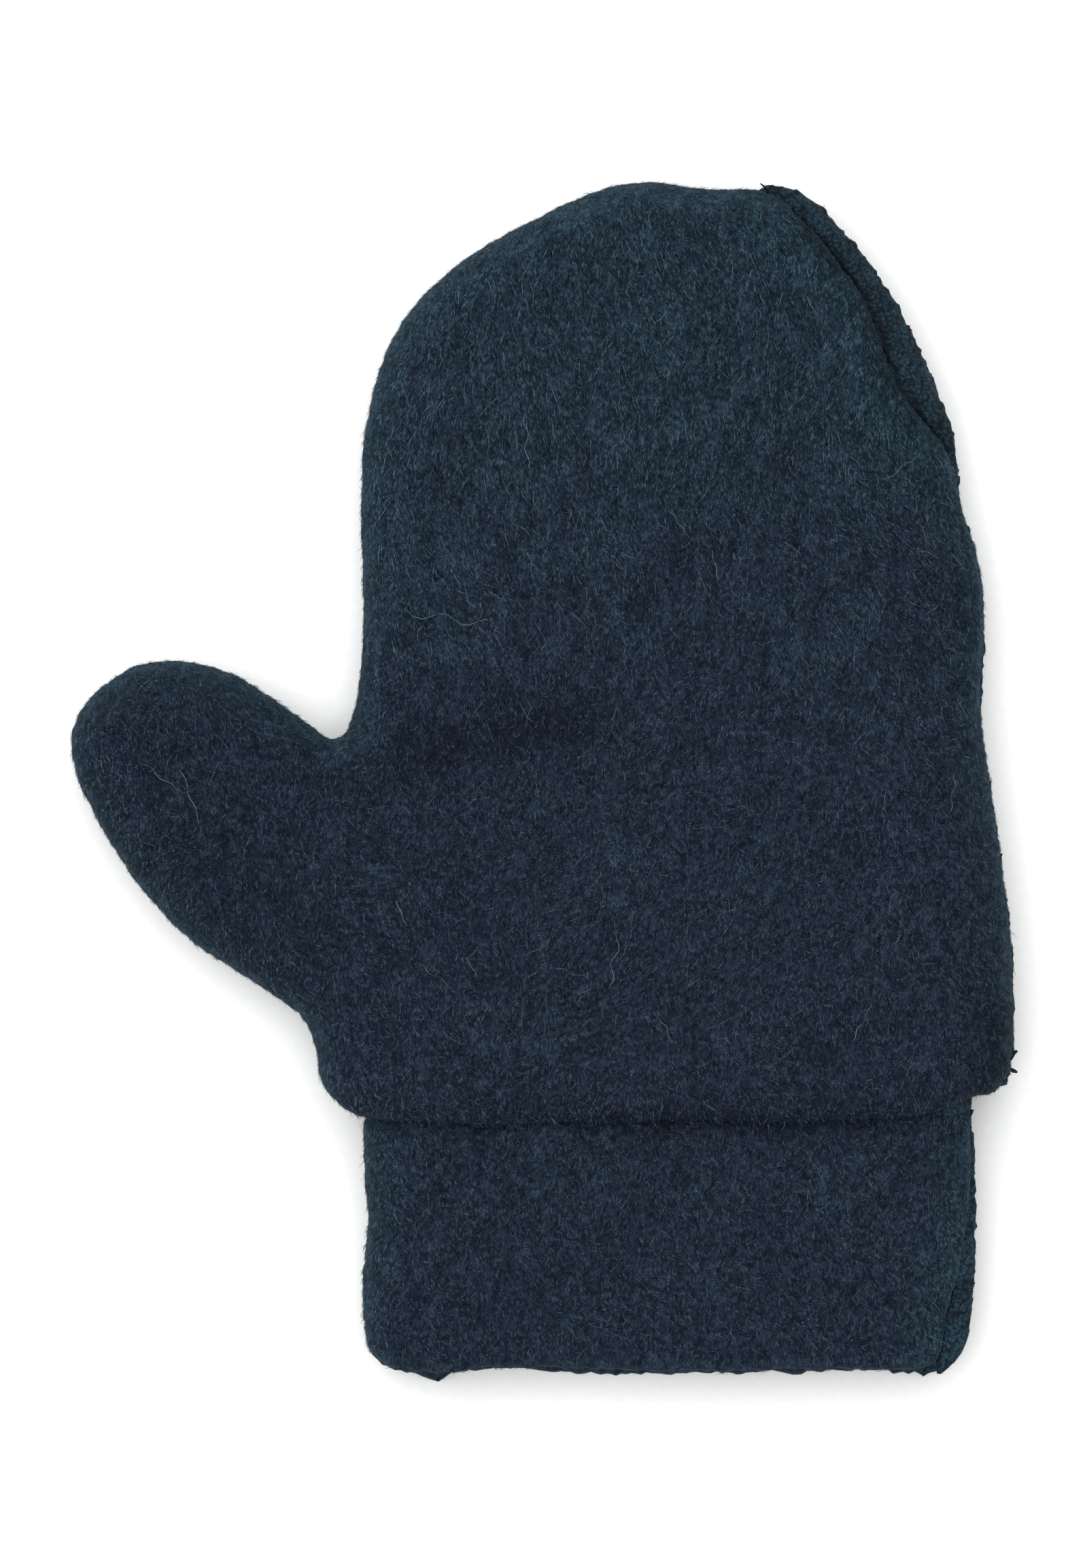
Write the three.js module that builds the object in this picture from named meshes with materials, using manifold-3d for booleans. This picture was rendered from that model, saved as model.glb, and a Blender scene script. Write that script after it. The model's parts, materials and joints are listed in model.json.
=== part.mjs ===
// A child's flip-top mitten in brushed fleece, empty and lying flat with the back of the hand up.
// A wide hood holds the fingers and the thumb. Its back is sewn to the sleeve along the wrist, and
// its palm side is open there, so the hood turns over backwards and frees the hand. The sleeve is
// open at both ends: a cuff below the wrist, and inside the hood a fingerless mitt with a slit for
// the thumb.
// Millimetres, +X to the little finger, +Y to the fingertips, +Z up. The table is at z = 0.

import * as THREE from 'three';
import { mergeVertices } from 'three/addons/utils/BufferGeometryUtils.js';
import Module from 'manifold-3d';

const wasm = await Module();
wasm.setup();

// Cloth and seams
const clothThickness = 2.2; // one layer of fleece with its nap
const layerClearance = 0.3; // between layers that lie on each other
const seamWidth = 1.6; // the overlock threads and the cut edges that they bind
const seamDepth = 1.4;
const seamRecess = 0.4; // how far a seam lies below the nap
const seamClearance = 0.3;

// Hood
const hoodLength = 134; // from the wrist seam to the fingertips
const palmWidth = 88.5;
const thumbReach = 41; // beyond the edge of the palm
const thumbSpan = 51.7; // along the palm, from the thumb's root to its highest point
const wristHeight = 17.5; // thickness of the empty mitten where it is thickest
const tipHeight = 12;
const hemCornerRadius = 12;
const hemCornerFlare = 0.8; // the corner's arc ends this far outside the side wall

// Sleeve
const cuffLength = 35;
const cuffMouthHeight = 12.5;
const cuffMouthTaper = 1.2; // each side of the cuff draws in by this much at its mouth
const cuffRise = 7; // the cuff climbs from the table onto the hood's palm over this length
const mittLength = 62; // from the wrist seam to the open finger edge
const sleeveEase = 3.4; // between the hood's side walls and the sleeve
const slitMargin = 7; // the slit ends this far short of the crotch and of the thumb's root

// Half the outline's width at the palm, and the crotch of the thumb, as shares of the sizes above
const palmEdgeShare = 0.4976;
const crotchShare = 0.4075;

// The hood's outline from the little finger's side of the wrist over the fingertips to the crotch,
// as shares of palmWidth and hoodLength
const fingerOutlineShares = [
  [0.5546, 0], [0.5502, 0.181], [0.5042, 0.442], [0.4985, 0.594], [0.4722, 0.659], [0.4549, 0.731],
  [0.3277, 0.908], [0.2024, 0.984], [0.0564, 0.993], [-0.0373, 1], [-0.114, 0.992], [-0.3398, 0.911],
  [-0.4348, 0.846], [-0.4866, 0.742], [-0.4932, 0.5], [-0.5139, 0.42],
];

// From the crotch round the thumb to the thumb's side of the wrist, as shares of thumbReach beyond
// the palm's edge and of thumbSpan above the crotch
const thumbOutlineShares = [
  [0.078, 0], [0.46, 0.182], [0.7, 0.216], [0.826, 0.182], [0.991, 0.028], [0.88, -0.268],
  [0.625, -0.531], [0.185, -0.784], [0.151, -0.859],
];
const wristThumbShare = 0.142; // of thumbReach, where the outline runs straight down at the wrist

// Where the edge seam runs on the rolled edge, along the outline: a share of the outline's length,
// and a share of a right angle, 0 on the outline itself and 1 where the roll meets the flat back
const hoodSeamRollShares = [
  [0, 0], [0.25, 0], [0.3, 0.76], [0.335, 0.6], [0.37, 0.56], [0.4, -0.1], [0.5, -0.3],
  [0.6, -0.12], [0.75, -0.05], [0.9, 0], [1, 0],
];
const cuffRightRollShare = 0.66; // the roll of the little finger's seam at the cuff's mouth
const cuffLeftRollShare = -0.15;
const slitOpenShare = 0.62; // the slit's edges lie this far round towards the flat layers
const bendFillShare = 0.9; // how much of a tight bend, such as the thumb's tip, the edge's roll may fill

// How finely round shapes are cut
const outlineSteps = 128;
const rollSteps = 5;
const mittSteps = 15;
const cuffSteps = 9;
const hemCornerSteps = 8;

const quarterTurn = Math.PI / 2;
const halfTurn = Math.PI;
const panelGap = seamWidth / 2 + seamClearance; // from a seam's middle line to a panel's edge

/** Thickness of the empty mitten on the table, which falls evenly from the wrist to the tips. */
function heightAt(y) {
  return THREE.MathUtils.lerp(wristHeight, tipHeight, y / hoodLength);
}

/** A value read from pairs of [place, value], eased between them. */
function easedThrough(pairs, place) {
  const next = Math.max(1, pairs.findIndex(([at]) => at >= place));
  const [from, before] = pairs[next - 1];
  const [to, after] = pairs[next];
  return THREE.MathUtils.lerp(before, after, THREE.MathUtils.smoothstep(place, from, to));
}

/** The hood's outline seen from above, drawn on past the wrist so that the hem can be cut. */
function hoodOutline() {
  const overrun = -hemCornerRadius;
  const fingers = fingerOutlineShares.map(([across, along]) => [across * palmWidth, along * hoodLength]);
  const thumb = thumbOutlineShares.map(([out, along]) => [
    -palmEdgeShare * palmWidth - out * thumbReach,
    crotchShare * hoodLength + along * thumbSpan,
  ]);
  const wristX = -palmEdgeShare * palmWidth - wristThumbShare * thumbReach;
  const places = [[fingers[0][0], overrun], ...fingers, ...thumb, [wristX, overrun]];
  return new THREE.CatmullRomCurve3(places.map(([x, y]) => new THREE.Vector3(x, y, 0)), false, 'centripetal');
}

const outline = hoodOutline();
outline.arcLengthDivisions = outlineSteps * rollSteps;
const outlinePlaces = outline.getSpacedPoints(outlineSteps);

const outlineInwards = outlinePlaces.map((_, index) => {
  const tangent = outline.getTangentAt(index / outlineSteps);
  return new THREE.Vector3(-tangent.y, tangent.x, 0);
});

/** The radius of the outline's tightest outward bend within one roll of a point on it. */
function tightestBend(index) {
  const spacing = outline.getLength() / outlineSteps;
  const reach = Math.ceil(wristHeight / 2 / spacing);
  let tightest = Infinity;
  for (let step = Math.max(0, index - reach); step < Math.min(outlineSteps, index + reach); step += 1) {
    const along = outlinePlaces[step + 1].clone().sub(outlinePlaces[step]);
    const turn = outlineInwards[step + 1].clone().sub(outlineInwards[step]);
    if (turn.dot(along) < 0) tightest = Math.min(tightest, along.length() / turn.length());
  }
  return tightest;
}

/** Points along the outline, each with the way in, how far the edge's roll reaches and the seam. */
const rim = outlinePlaces.map((place, index) => ({
  place,
  inward: outlineInwards[index],
  reach: Math.min(heightAt(place.y) / 2, bendFillShare * tightestBend(index)),
  seamRoll: quarterTurn * easedThrough(hoodSeamRollShares, index / outlineSteps),
}));

/** A point on the hood's rolled edge: roll goes round the edge, depth into the cloth. */
function hoodPoint({ place, inward, reach }, roll, depth) {
  const point = place.clone().addScaledVector(inward, depth + (reach - depth) * (1 - Math.cos(roll)));
  const half = heightAt(point.y) / 2;
  point.z = half + (half - depth) * Math.sin(roll);
  return point;
}

/** The angle that a length takes on the rolled edge of a layer. */
function rollAngle(length, radius) {
  return length / radius;
}

/** The closed surface between two grids of points, [row][column], and the caps that fill them. */
function layerGeometry(outer, inner, capped) {
  const rows = outer.length;
  const columns = outer[0].length;
  const points = [...outer.flat(), ...inner.flat()];
  const at = (row, column) => row * columns + column;
  const under = (corner) => corner + rows * columns;
  const triangles = [];
  const quad = (a, b, c, d) => triangles.push(a, b, c, a, c, d);
  for (let row = 0; row + 1 < rows; row += 1) {
    for (let column = 0; column + 1 < columns; column += 1) {
      const ring = [at(row, column), at(row, column + 1), at(row + 1, column + 1), at(row + 1, column)];
      quad(...ring);
      quad(...ring.map(under).reverse());
    }
  }
  const wall = (a, b) => quad(a, b, under(b), under(a));
  for (let row = 0; row + 1 < rows; row += 1) {
    wall(at(row, 0), at(row + 1, 0));
    if (!capped) wall(at(row + 1, columns - 1), at(row, columns - 1));
  }
  for (let column = 0; column + 1 < columns; column += 1) {
    wall(at(0, column + 1), at(0, column));
    wall(at(rows - 1, column), at(rows - 1, column + 1));
  }
  if (capped) {
    const last = columns - 1;
    const edge = outer.map((row) => new THREE.Vector2(row[last].x, row[last].y));
    for (const corners of THREE.ShapeUtils.triangulateShape(edge, [])) {
      const [a, b, c] = corners.map((row) => at(row, last));
      triangles.push(c, b, a, under(a), under(b), under(c));
    }
    wall(at(rows - 1, last), at(0, last));
  }
  const geometry = new THREE.BufferGeometry();
  geometry.setAttribute('position', new THREE.Float32BufferAttribute(points.flatMap((p) => [p.x, p.y, p.z]), 3));
  geometry.setIndex(triangles);
  return geometry;
}

/** A three.js geometry as a solid that can be cut. Its faces are turned to point outwards. */
function solidOf(geometry) {
  const bare = geometry.clone();
  bare.deleteAttribute('normal');
  bare.deleteAttribute('uv');
  const merged = mergeVertices(bare);
  const vertProperties = Float32Array.from(merged.attributes.position.array);
  const triVerts = Uint32Array.from(merged.index.array);
  if (signedVolume(vertProperties, triVerts) < 0) triVerts.reverse();
  return new wasm.Manifold(new wasm.Mesh({ numProp: 3, vertProperties, triVerts }));
}

/** Six times the volume inside a closed mesh, negative where its faces point in. */
function signedVolume(positions, triangles) {
  const corner = (index) => new THREE.Vector3().fromArray(positions, triangles[index] * 3);
  let total = 0;
  for (let first = 0; first < triangles.length; first += 3) {
    total += corner(first).dot(corner(first + 1).cross(corner(first + 2)));
  }
  return total;
}

/** A cut solid back as a three.js geometry. */
function geometryOf(solid) {
  const mesh = solid.getMesh();
  const geometry = new THREE.BufferGeometry();
  geometry.setAttribute('position', new THREE.BufferAttribute(mesh.vertProperties, 3));
  geometry.setIndex(new THREE.BufferAttribute(mesh.triVerts, 1));
  geometry.computeVertexNormals();
  return geometry;
}

/** Everything above the wrist, with the hem's rounded corners, as a block that trims the hood. */
function hemBlock() {
  const right = rim[0].place.x + hemCornerFlare;
  const left = rim[outlineSteps].place.x - hemCornerFlare;
  const beyond = thumbReach + palmWidth;
  const shape = new THREE.Shape();
  shape.moveTo(left + hemCornerRadius, 0);
  shape.lineTo(right - hemCornerRadius, 0);
  shape.absarc(right - hemCornerRadius, hemCornerRadius, hemCornerRadius, -quarterTurn, 0, false);
  shape.lineTo(right + beyond, hemCornerRadius);
  shape.lineTo(right + beyond, hoodLength + hemCornerRadius);
  shape.lineTo(left - beyond, hoodLength + hemCornerRadius);
  shape.lineTo(left - beyond, hemCornerRadius);
  shape.lineTo(left, hemCornerRadius);
  shape.absarc(left + hemCornerRadius, hemCornerRadius, hemCornerRadius, -halfTurn, -quarterTurn, false);
  const block = new THREE.ExtrudeGeometry(shape, {
    depth: wristHeight + 2 * clothThickness,
    bevelEnabled: false,
    curveSegments: hemCornerSteps,
  });
  block.translate(0, 0, -clothThickness);
  return solidOf(block);
}

const aboveWrist = hemBlock();

/** One panel of the hood, from its side of the seam to the flat layer: side is 1 for the back. */
function hoodPanel(side) {
  const grid = (depth) => rim.map((station) => {
    const radius = heightAt(station.place.y) / 2;
    const start = station.seamRoll + side * rollAngle(panelGap, radius);
    return Array.from({ length: rollSteps + 1 }, (_, step) =>
      hoodPoint(station, THREE.MathUtils.lerp(start, side * quarterTurn, step / rollSteps), depth));
  });
  return solidOf(layerGeometry(grid(0), grid(clothThickness), true)).intersect(aboveWrist);
}

/** The overlock seam that joins the hood's panels round fingers and thumb. */
function hoodEdgeSeam() {
  const grid = (depth) => rim.map((station) => {
    const half = rollAngle(seamWidth / 2, heightAt(station.place.y) / 2);
    return [-half, half].map((turn) => hoodPoint(station, station.seamRoll + turn, depth));
  });
  return solidOf(layerGeometry(grid(seamRecess), grid(seamRecess + seamDepth), false)).intersect(aboveWrist);
}

/** Half the hood's width on the little finger's side, at a distance from the wrist. */
function hoodSideAt(y) {
  const index = outlinePlaces.findIndex((place) => place.y >= y);
  const [below, above] = [outlinePlaces[index - 1], outlinePlaces[index]];
  return THREE.MathUtils.mapLinear(y, below.y, above.y, below.x, above.x);
}

const sleeveWristHalf = hoodSideAt(0) - clothThickness - sleeveEase;
const mittTipHalf = Math.min(sleeveWristHalf, hoodSideAt(mittLength) - clothThickness - sleeveEase);
const hoodFloor = clothThickness + layerClearance;
const crotchY = crotchShare * hoodLength;
const thumbRootY = crotchY + thumbOutlineShares.at(-1)[1] * thumbSpan;
const slitStart = Math.max(0, thumbRootY) + slitMargin;
const slitEnd = Math.min(crotchY, mittLength) - slitMargin;

/** The sleeve's outer section at a distance from the wrist: below 0 the cuff, above it the mitt. */
function sleeveSection(y) {
  const share = Math.max(0, -y) / cuffLength;
  const half = y > 0
    ? THREE.MathUtils.lerp(sleeveWristHalf, mittTipHalf, y / mittLength)
    : sleeveWristHalf - cuffMouthTaper * share * share;
  const top = y > 0
    ? heightAt(y) - hoodFloor
    : THREE.MathUtils.lerp(wristHeight - hoodFloor, cuffMouthHeight, share);
  const bottom = hoodFloor * (1 - THREE.MathUtils.smoothstep(-y, 0, cuffRise));
  return { half, middle: (top + bottom) / 2, radius: (top - bottom) / 2 };
}

/** A point of the sleeve: side is 1 on the little finger's edge, roll goes round it. */
function sleevePoint(y, side, roll, depth) {
  const { half, middle, radius } = sleeveSection(y);
  const inset = depth + (radius - depth) * (1 - Math.cos(roll));
  return new THREE.Vector3(side * (half - inset), y, middle + (radius - depth) * Math.sin(roll));
}

/** The roll of a side seam of the sleeve, side 1 for the little finger's. */
function sleeveSeamRoll(y, side) {
  const share = Math.max(0, -y) / cuffLength;
  return quarterTurn * share * (side > 0 ? cuffRightRollShare : cuffLeftRollShare);
}

/** How far the thumb's slit is open at a distance from the wrist, as a roll to each side. */
function slitRoll(y) {
  const share = THREE.MathUtils.clamp((y - slitStart) / (slitEnd - slitStart), 0, 1);
  return quarterTurn * slitOpenShare * Math.sqrt(Math.sin(halfTurn * share));
}

/** Distances from the wrist, evenly spaced. */
function stations(from, to, steps) {
  return Array.from({ length: steps + 1 }, (_, step) => THREE.MathUtils.lerp(from, to, step / steps));
}

/** A layer that wraps one face of the sleeve from side seam to side seam: face 1 is the back. */
function sleeveLayer(places, face, gap, outerDepth, innerDepth) {
  const grid = (depth) => places.map((y) => {
    const { radius } = sleeveSection(y);
    return [-1, 1].flatMap((side) => {
      const open = side < 0 ? slitRoll(y) : 0;
      const start = sleeveSeamRoll(y, side) + face * Math.max(rollAngle(gap, radius), open);
      const column = Array.from({ length: rollSteps + 1 }, (_, step) =>
        sleevePoint(y, side, THREE.MathUtils.lerp(start, face * quarterTurn, step / rollSteps), depth));
      return side < 0 ? column : column.reverse();
    });
  });
  return solidOf(layerGeometry(grid(outerDepth), grid(innerDepth), false));
}

/** A side seam of the sleeve over some distances from the wrist. */
function sideSeam(places, side) {
  const grid = (depth) => places.map((y) => {
    const half = rollAngle(seamWidth / 2, sleeveSection(y).radius);
    return [-half, half].map((turn) => sleevePoint(y, side, sleeveSeamRoll(y, side) + turn, depth));
  });
  return solidOf(layerGeometry(grid(seamRecess), grid(seamRecess + seamDepth), false));
}

const cuffPlaces = stations(-cuffLength, -panelGap, cuffSteps);
const mittPlaces = stations(panelGap, mittLength, mittSteps);
const wristPlaces = stations(-seamWidth / 2, seamWidth / 2, 1);

/** One face of the seam round the wrist. */
function wristSeam(face) {
  return sleeveLayer(wristPlaces, face, seamClearance / 2, seamRecess, seamRecess + seamDepth);
}

const fleece = new THREE.MeshStandardMaterial({ color: 0x232d3a, roughness: 1, metalness: 0 });
const fleeceInside = new THREE.MeshStandardMaterial({ color: 0x1e2f38, roughness: 1, metalness: 0 });
const thread = new THREE.MeshStandardMaterial({ color: 0x10181d, roughness: 0.9, metalness: 0 });

/** Adds a named piece to a group. */
function addPiece(group, name, solid, material) {
  const mesh = new THREE.Mesh(geometryOf(solid), material);
  mesh.name = name;
  group.add(mesh);
}

const hood = new THREE.Group();
addPiece(hood, 'hood_back_panel', hoodPanel(1), fleece);
addPiece(hood, 'hood_palm_panel', hoodPanel(-1), fleece);
addPiece(hood, 'hood_edge_seam', hoodEdgeSeam(), thread);

const sleeve = new THREE.Group();
addPiece(sleeve, 'cuff_back_panel', sleeveLayer(cuffPlaces, 1, panelGap, 0, clothThickness), fleece);
addPiece(sleeve, 'cuff_palm_panel', sleeveLayer(cuffPlaces, -1, panelGap, 0, clothThickness), fleece);
addPiece(sleeve, 'mitt_back_panel', sleeveLayer(mittPlaces, 1, panelGap, 0, clothThickness), fleeceInside);
addPiece(sleeve, 'mitt_palm_panel', sleeveLayer(mittPlaces, -1, panelGap, 0, clothThickness), fleeceInside);
addPiece(sleeve, 'flip_seam', wristSeam(1), thread);
addPiece(sleeve, 'palm_wrist_seam', wristSeam(-1), thread);
addPiece(sleeve, 'cuff_pinky_seam', sideSeam(cuffPlaces, 1), thread);
addPiece(sleeve, 'cuff_thumb_seam', sideSeam(cuffPlaces, -1), thread);
addPiece(sleeve, 'mitt_pinky_seam', sideSeam(mittPlaces, 1), thread);
addPiece(sleeve, 'mitt_thumb_seam_lower', sideSeam(stations(panelGap, slitStart, rollSteps), -1), thread);
addPiece(sleeve, 'mitt_thumb_seam_upper', sideSeam(stations(slitEnd, mittLength, rollSteps), -1), thread);

// The origin is the middle of the mitten's footprint on the table.
const mitten = new THREE.Group();
mitten.add(hood, sleeve);
const footprint = new THREE.Box3().setFromObject(mitten);
const centre = footprint.getCenter(new THREE.Vector3());
mitten.position.set(-centre.x, -centre.y, -footprint.min.z);

export default mitten;
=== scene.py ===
"""A child's convertible flip-top mitten in brushed fleece: its cloth, nap, seams and studio.

Metres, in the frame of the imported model: +Z up out of the back of the hand, +Y to the fingertips and
+X to the little finger's side, with the table at z = 0.
"""

import functools
import heapq
import json
import logging
import math
import random
from collections import defaultdict
from collections.abc import Callable, Sequence
from dataclasses import dataclass, field
from enum import Enum

import bmesh
import bpy
from bmesh.types import BMesh, BMFace, BMVert
from bpy.types import Camera, Collection, Light, Material, Mesh, MeshPolygon, Node, NodeSocket, NodeTree, Object
from mathutils import Matrix, Vector, noise
from mathutils.bvhtree import BVHTree
from mathutils.kdtree import KDTree

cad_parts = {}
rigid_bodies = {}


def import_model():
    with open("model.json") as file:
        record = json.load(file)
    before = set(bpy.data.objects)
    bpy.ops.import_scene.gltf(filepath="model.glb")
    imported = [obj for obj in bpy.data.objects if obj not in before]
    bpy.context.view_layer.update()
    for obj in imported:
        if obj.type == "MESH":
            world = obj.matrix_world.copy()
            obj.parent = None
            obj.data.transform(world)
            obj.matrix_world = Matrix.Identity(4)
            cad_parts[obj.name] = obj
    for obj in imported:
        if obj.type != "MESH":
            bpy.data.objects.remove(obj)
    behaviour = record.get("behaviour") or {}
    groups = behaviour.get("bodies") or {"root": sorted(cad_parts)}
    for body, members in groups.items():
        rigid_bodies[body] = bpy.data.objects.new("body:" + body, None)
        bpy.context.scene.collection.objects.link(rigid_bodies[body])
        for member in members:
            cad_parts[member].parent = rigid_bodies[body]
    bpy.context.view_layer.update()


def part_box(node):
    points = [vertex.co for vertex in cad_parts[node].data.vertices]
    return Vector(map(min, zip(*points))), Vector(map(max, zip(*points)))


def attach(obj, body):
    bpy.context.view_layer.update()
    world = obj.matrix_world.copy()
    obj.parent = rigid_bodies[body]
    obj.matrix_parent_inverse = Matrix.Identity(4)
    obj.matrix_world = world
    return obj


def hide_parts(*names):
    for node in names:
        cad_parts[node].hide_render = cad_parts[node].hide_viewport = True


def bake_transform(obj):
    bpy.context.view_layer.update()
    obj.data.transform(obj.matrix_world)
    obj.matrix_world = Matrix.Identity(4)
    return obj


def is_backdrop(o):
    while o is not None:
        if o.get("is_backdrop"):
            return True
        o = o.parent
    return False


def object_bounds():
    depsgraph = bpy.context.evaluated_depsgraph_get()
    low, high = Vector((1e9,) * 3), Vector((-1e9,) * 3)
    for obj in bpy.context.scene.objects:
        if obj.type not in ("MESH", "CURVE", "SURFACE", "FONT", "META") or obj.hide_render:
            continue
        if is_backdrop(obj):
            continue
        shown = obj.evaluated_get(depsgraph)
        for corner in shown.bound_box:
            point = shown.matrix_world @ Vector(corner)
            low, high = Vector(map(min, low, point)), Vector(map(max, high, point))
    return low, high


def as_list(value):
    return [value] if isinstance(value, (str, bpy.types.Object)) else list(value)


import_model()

LOG = logging.getLogger("mitten")
MM = 0.001
UP = Vector((0.0, 0.0, 1.0))

# The photograph's frame: its size in pixels, and the pixel that lies at the model's wrist line
PHOTO_PX = (1596, 2306)
WRIST_PX = (983.0, 1650.0)
MM_PER_PX = 0.097
WRIST_MM = (17.839, -49.499)
WRIST_X, WRIST_Y = WRIST_MM[0] * MM, WRIST_MM[1] * MM

Line = tuple[tuple[float, float], ...]
Shades = tuple[str, ...]
PointTest = Callable[[Vector, Vector], float]
PointMove = Callable[[Vector], Vector]
PlaceShare = Callable[[Vector], float]
AddNode = Callable[..., Node]
Traits = dict[str, object]


def from_photo(across_px: float, down_px: float) -> Vector:
    """Turn a column and a row of the photograph's pixels into a place on the table, in metres."""
    across = WRIST_MM[0] + (across_px - WRIST_PX[0]) * MM_PER_PX
    return Vector((across * MM, (WRIST_MM[1] + (WRIST_PX[1] - down_px) * MM_PER_PX) * MM, 0.0))


def to_photo(place: Vector) -> tuple[float, float]:
    """Give the column and the row of the photograph's pixel where a place is seen."""
    across = WRIST_PX[0] + (place.x / MM - WRIST_MM[0]) / MM_PER_PX
    return across, WRIST_PX[1] - (place.y / MM - WRIST_MM[1]) / MM_PER_PX


def read_line(points: Line, at: float) -> float:
    """Read a line through points at a place along it.

    Args:
        points: The points, in rising order, each a place along the line and its value.
        at: The place.

    Returns:
        The value, which is the first or the last point's beyond them.
    """
    for (start, low), (end, high) in zip(points, points[1:]):
        if at <= end:
            return low + (high - low) * min(1.0, max(0.0, (at - start) / (end - start)))
    return points[-1][1]


def ease(value: float, start: float, end: float) -> float:
    """Give 0 before start, 1 after end and a smooth rise between them."""
    share = min(1.0, max(0.0, (value - start) / (end - start)))
    return share * share * (3 - 2 * share)


def bell(away: float, width: float) -> float:
    """Give 1 at no distance, and less the farther away, over a width."""
    return math.exp(-((away / width) ** 2))


def linear(shade: str) -> tuple[float, float, float, float]:
    """Turn an sRGB hex colour, as in #1A2B3C, into the linear one that shaders take, with an alpha of 1."""
    parts = [int(shade[start:start + 2], 16) / 255 for start in (1, 3, 5)]
    return *(part / 12.92 if part <= 0.04045 else ((part + 0.055) / 1.055) ** 2.4 for part in parts), 1.0


def add_node(
    tree: NodeTree, family: str, kind: str, inputs: dict | None = None, stops: Sequence[tuple[float, str]] = (),
    **settings: object,
) -> Node:
    """Add a node with its settings, and set or link its inputs.

    Args:
        tree: The tree that gets the node.
        family: How Blender's name for the node type begins.
        kind: The rest of that name.
        inputs: Values, sockets or nodes, under the input's name or index. A node stands for its first output.
        stops: A colour ramp's places from 0 to 1 with their hex colours, in rising order.
        **settings: The node's own properties.

    Returns:
        The new node.
    """
    node = tree.nodes.new(family + kind)
    for name, value in settings.items():
        setattr(node, name, value)
    for name, value in (inputs or {}).items():
        value = value.outputs[0] if isinstance(value, Node) else value
        if isinstance(value, NodeSocket):
            tree.links.new(value, node.inputs[name])
        else:
            node.inputs[name].default_value = value
    for place, _ in stops[2:]:
        node.color_ramp.elements.new(place)
    for index, (place, shade) in enumerate(stops):
        node.color_ramp.elements[index].position = place
        node.color_ramp.elements[index].color = linear(shade)
    return node


def dimmed(add: AddNode, value: Node, share: float) -> Node:
    """Add a share of the cloth's "dim" attribute, which holds painted shade among other darkening, to a value, and
    return the sum.
    """
    dim = add("Attribute", attribute_name="dim").outputs["Fac"]
    return add("Math", {0: dim, 1: share, 2: value}, operation="MULTIPLY_ADD")


def dyed(add: AddNode, value: Node, places: tuple[float, ...], *casts: Shades) -> NodeSocket:
    """Colour a value.

    Args:
        add: Adds a node to the material's tree.
        value: What is coloured.
        places: The places of the ramps' colours.
        *casts: The colours: those of the navy ramp, and those that the cloth's "teal" attribute mixes in, with its
                painted sheen at edges.

    Returns:
        The colour's socket.
    """
    ramps = [add("ValToRGB", {"Fac": value}, list(zip(places, cast))) for cast in casts]
    teal = add("Attribute", attribute_name="teal").outputs["Fac"]
    return add("Mix", {0: teal, 6: ramps[0], 7: ramps[1]}, data_type="RGBA").outputs[2]


@dataclass(frozen=True)
class Finish:
    """What a surface is made of, with patterns that lie in the object's own space."""

    name: str

    def surface(self, add: AddNode, place: NodeSocket) -> Traits:
        """Add the nodes of the finish's patterns.

        Args:
            add: Adds a shader node to the material's tree.
            place: Where a point of the surface lies, in metres.

        Returns:
            The inputs of the surface shader.
        """
        raise NotImplementedError

    def material(self) -> Material:
        """Build the material.

        Returns:
            The material.
        """
        material = bpy.data.materials.new(self.name)
        material.use_nodes = True
        material.node_tree.nodes.clear()
        add = functools.partial(add_node, material.node_tree, "ShaderNode")
        place = add("TexCoord").outputs["Object"]
        shader = add("BsdfPrincipled", self.surface(add, place))
        add("OutputMaterial", {"Surface": shader})
        return material


@dataclass(frozen=True)
class FleeceGround(Finish):
    """Knitted polyester under a brushed nap: matte, dark between matted fibres, navy with a teal cast.

    Its grain is about six times as coarse as the real fibre of 0.03 mm, because that is the least that shows.
    """

    name: str = "brushed_fleece"
    navy: Shades = ("#070D17", "#16202E", "#2D3948")
    teal: Shades = ("#08121A", "#182834", "#304653")
    sheen: str = "#6F8FA3"
    clump: float = 0.9 * MM
    fibre: float = 0.17 * MM
    fibre_stretch: float = 0.16
    bend: float = 1.9 * MM

    def surface(self, add: AddNode, place: NodeSocket) -> Traits:
        """Draw grain that runs along the nap and bends, over clumps.

        Args:
            add: Adds a shader node to the material's tree.
            place: Where a point of the surface lies, in metres.

        Returns:
            The inputs of the surface shader.
        """
        swirl = add("TexNoise", {"Vector": place, "Scale": 1 / (3 * self.clump), "Detail": 3.0})
        bend = add("VectorMath", {0: swirl.outputs["Color"], "Scale": self.bend}, operation="SCALE")
        bent = add("VectorMath", {0: place, 1: bend}, operation="ADD")
        along = add("Mapping", {"Vector": bent, "Scale": (1.0, self.fibre_stretch, 1.0)})
        fibres = add("TexNoise", {"Vector": along, "Scale": 1 / self.fibre, "Detail": 2.0, "Roughness": 0.6})
        clumps = add("TexNoise", {"Vector": place, "Scale": 1 / self.clump, "Detail": 4.0})
        mixed = add("Mix", {0: 0.4, 2: fibres, 3: clumps}, data_type="FLOAT")
        # The cloth's dimness lowers the tone: painted shade in an open seam and along the hem's crease, among other
        # darkening
        tone = dimmed(add, mixed, -0.3)
        return {
            "Base Color": dyed(add, tone, (0.38, 0.5, 0.64), self.navy, self.teal),
            "Roughness": 0.95, "Specular IOR Level": 0.15,
            "Sheen Weight": 0.12, "Sheen Roughness": 0.5, "Sheen Tint": linear(self.sheen),
            "Normal": add("Bump", {"Height": tone, "Distance": 0.45 * MM, "Strength": 0.6}),
        }


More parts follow.
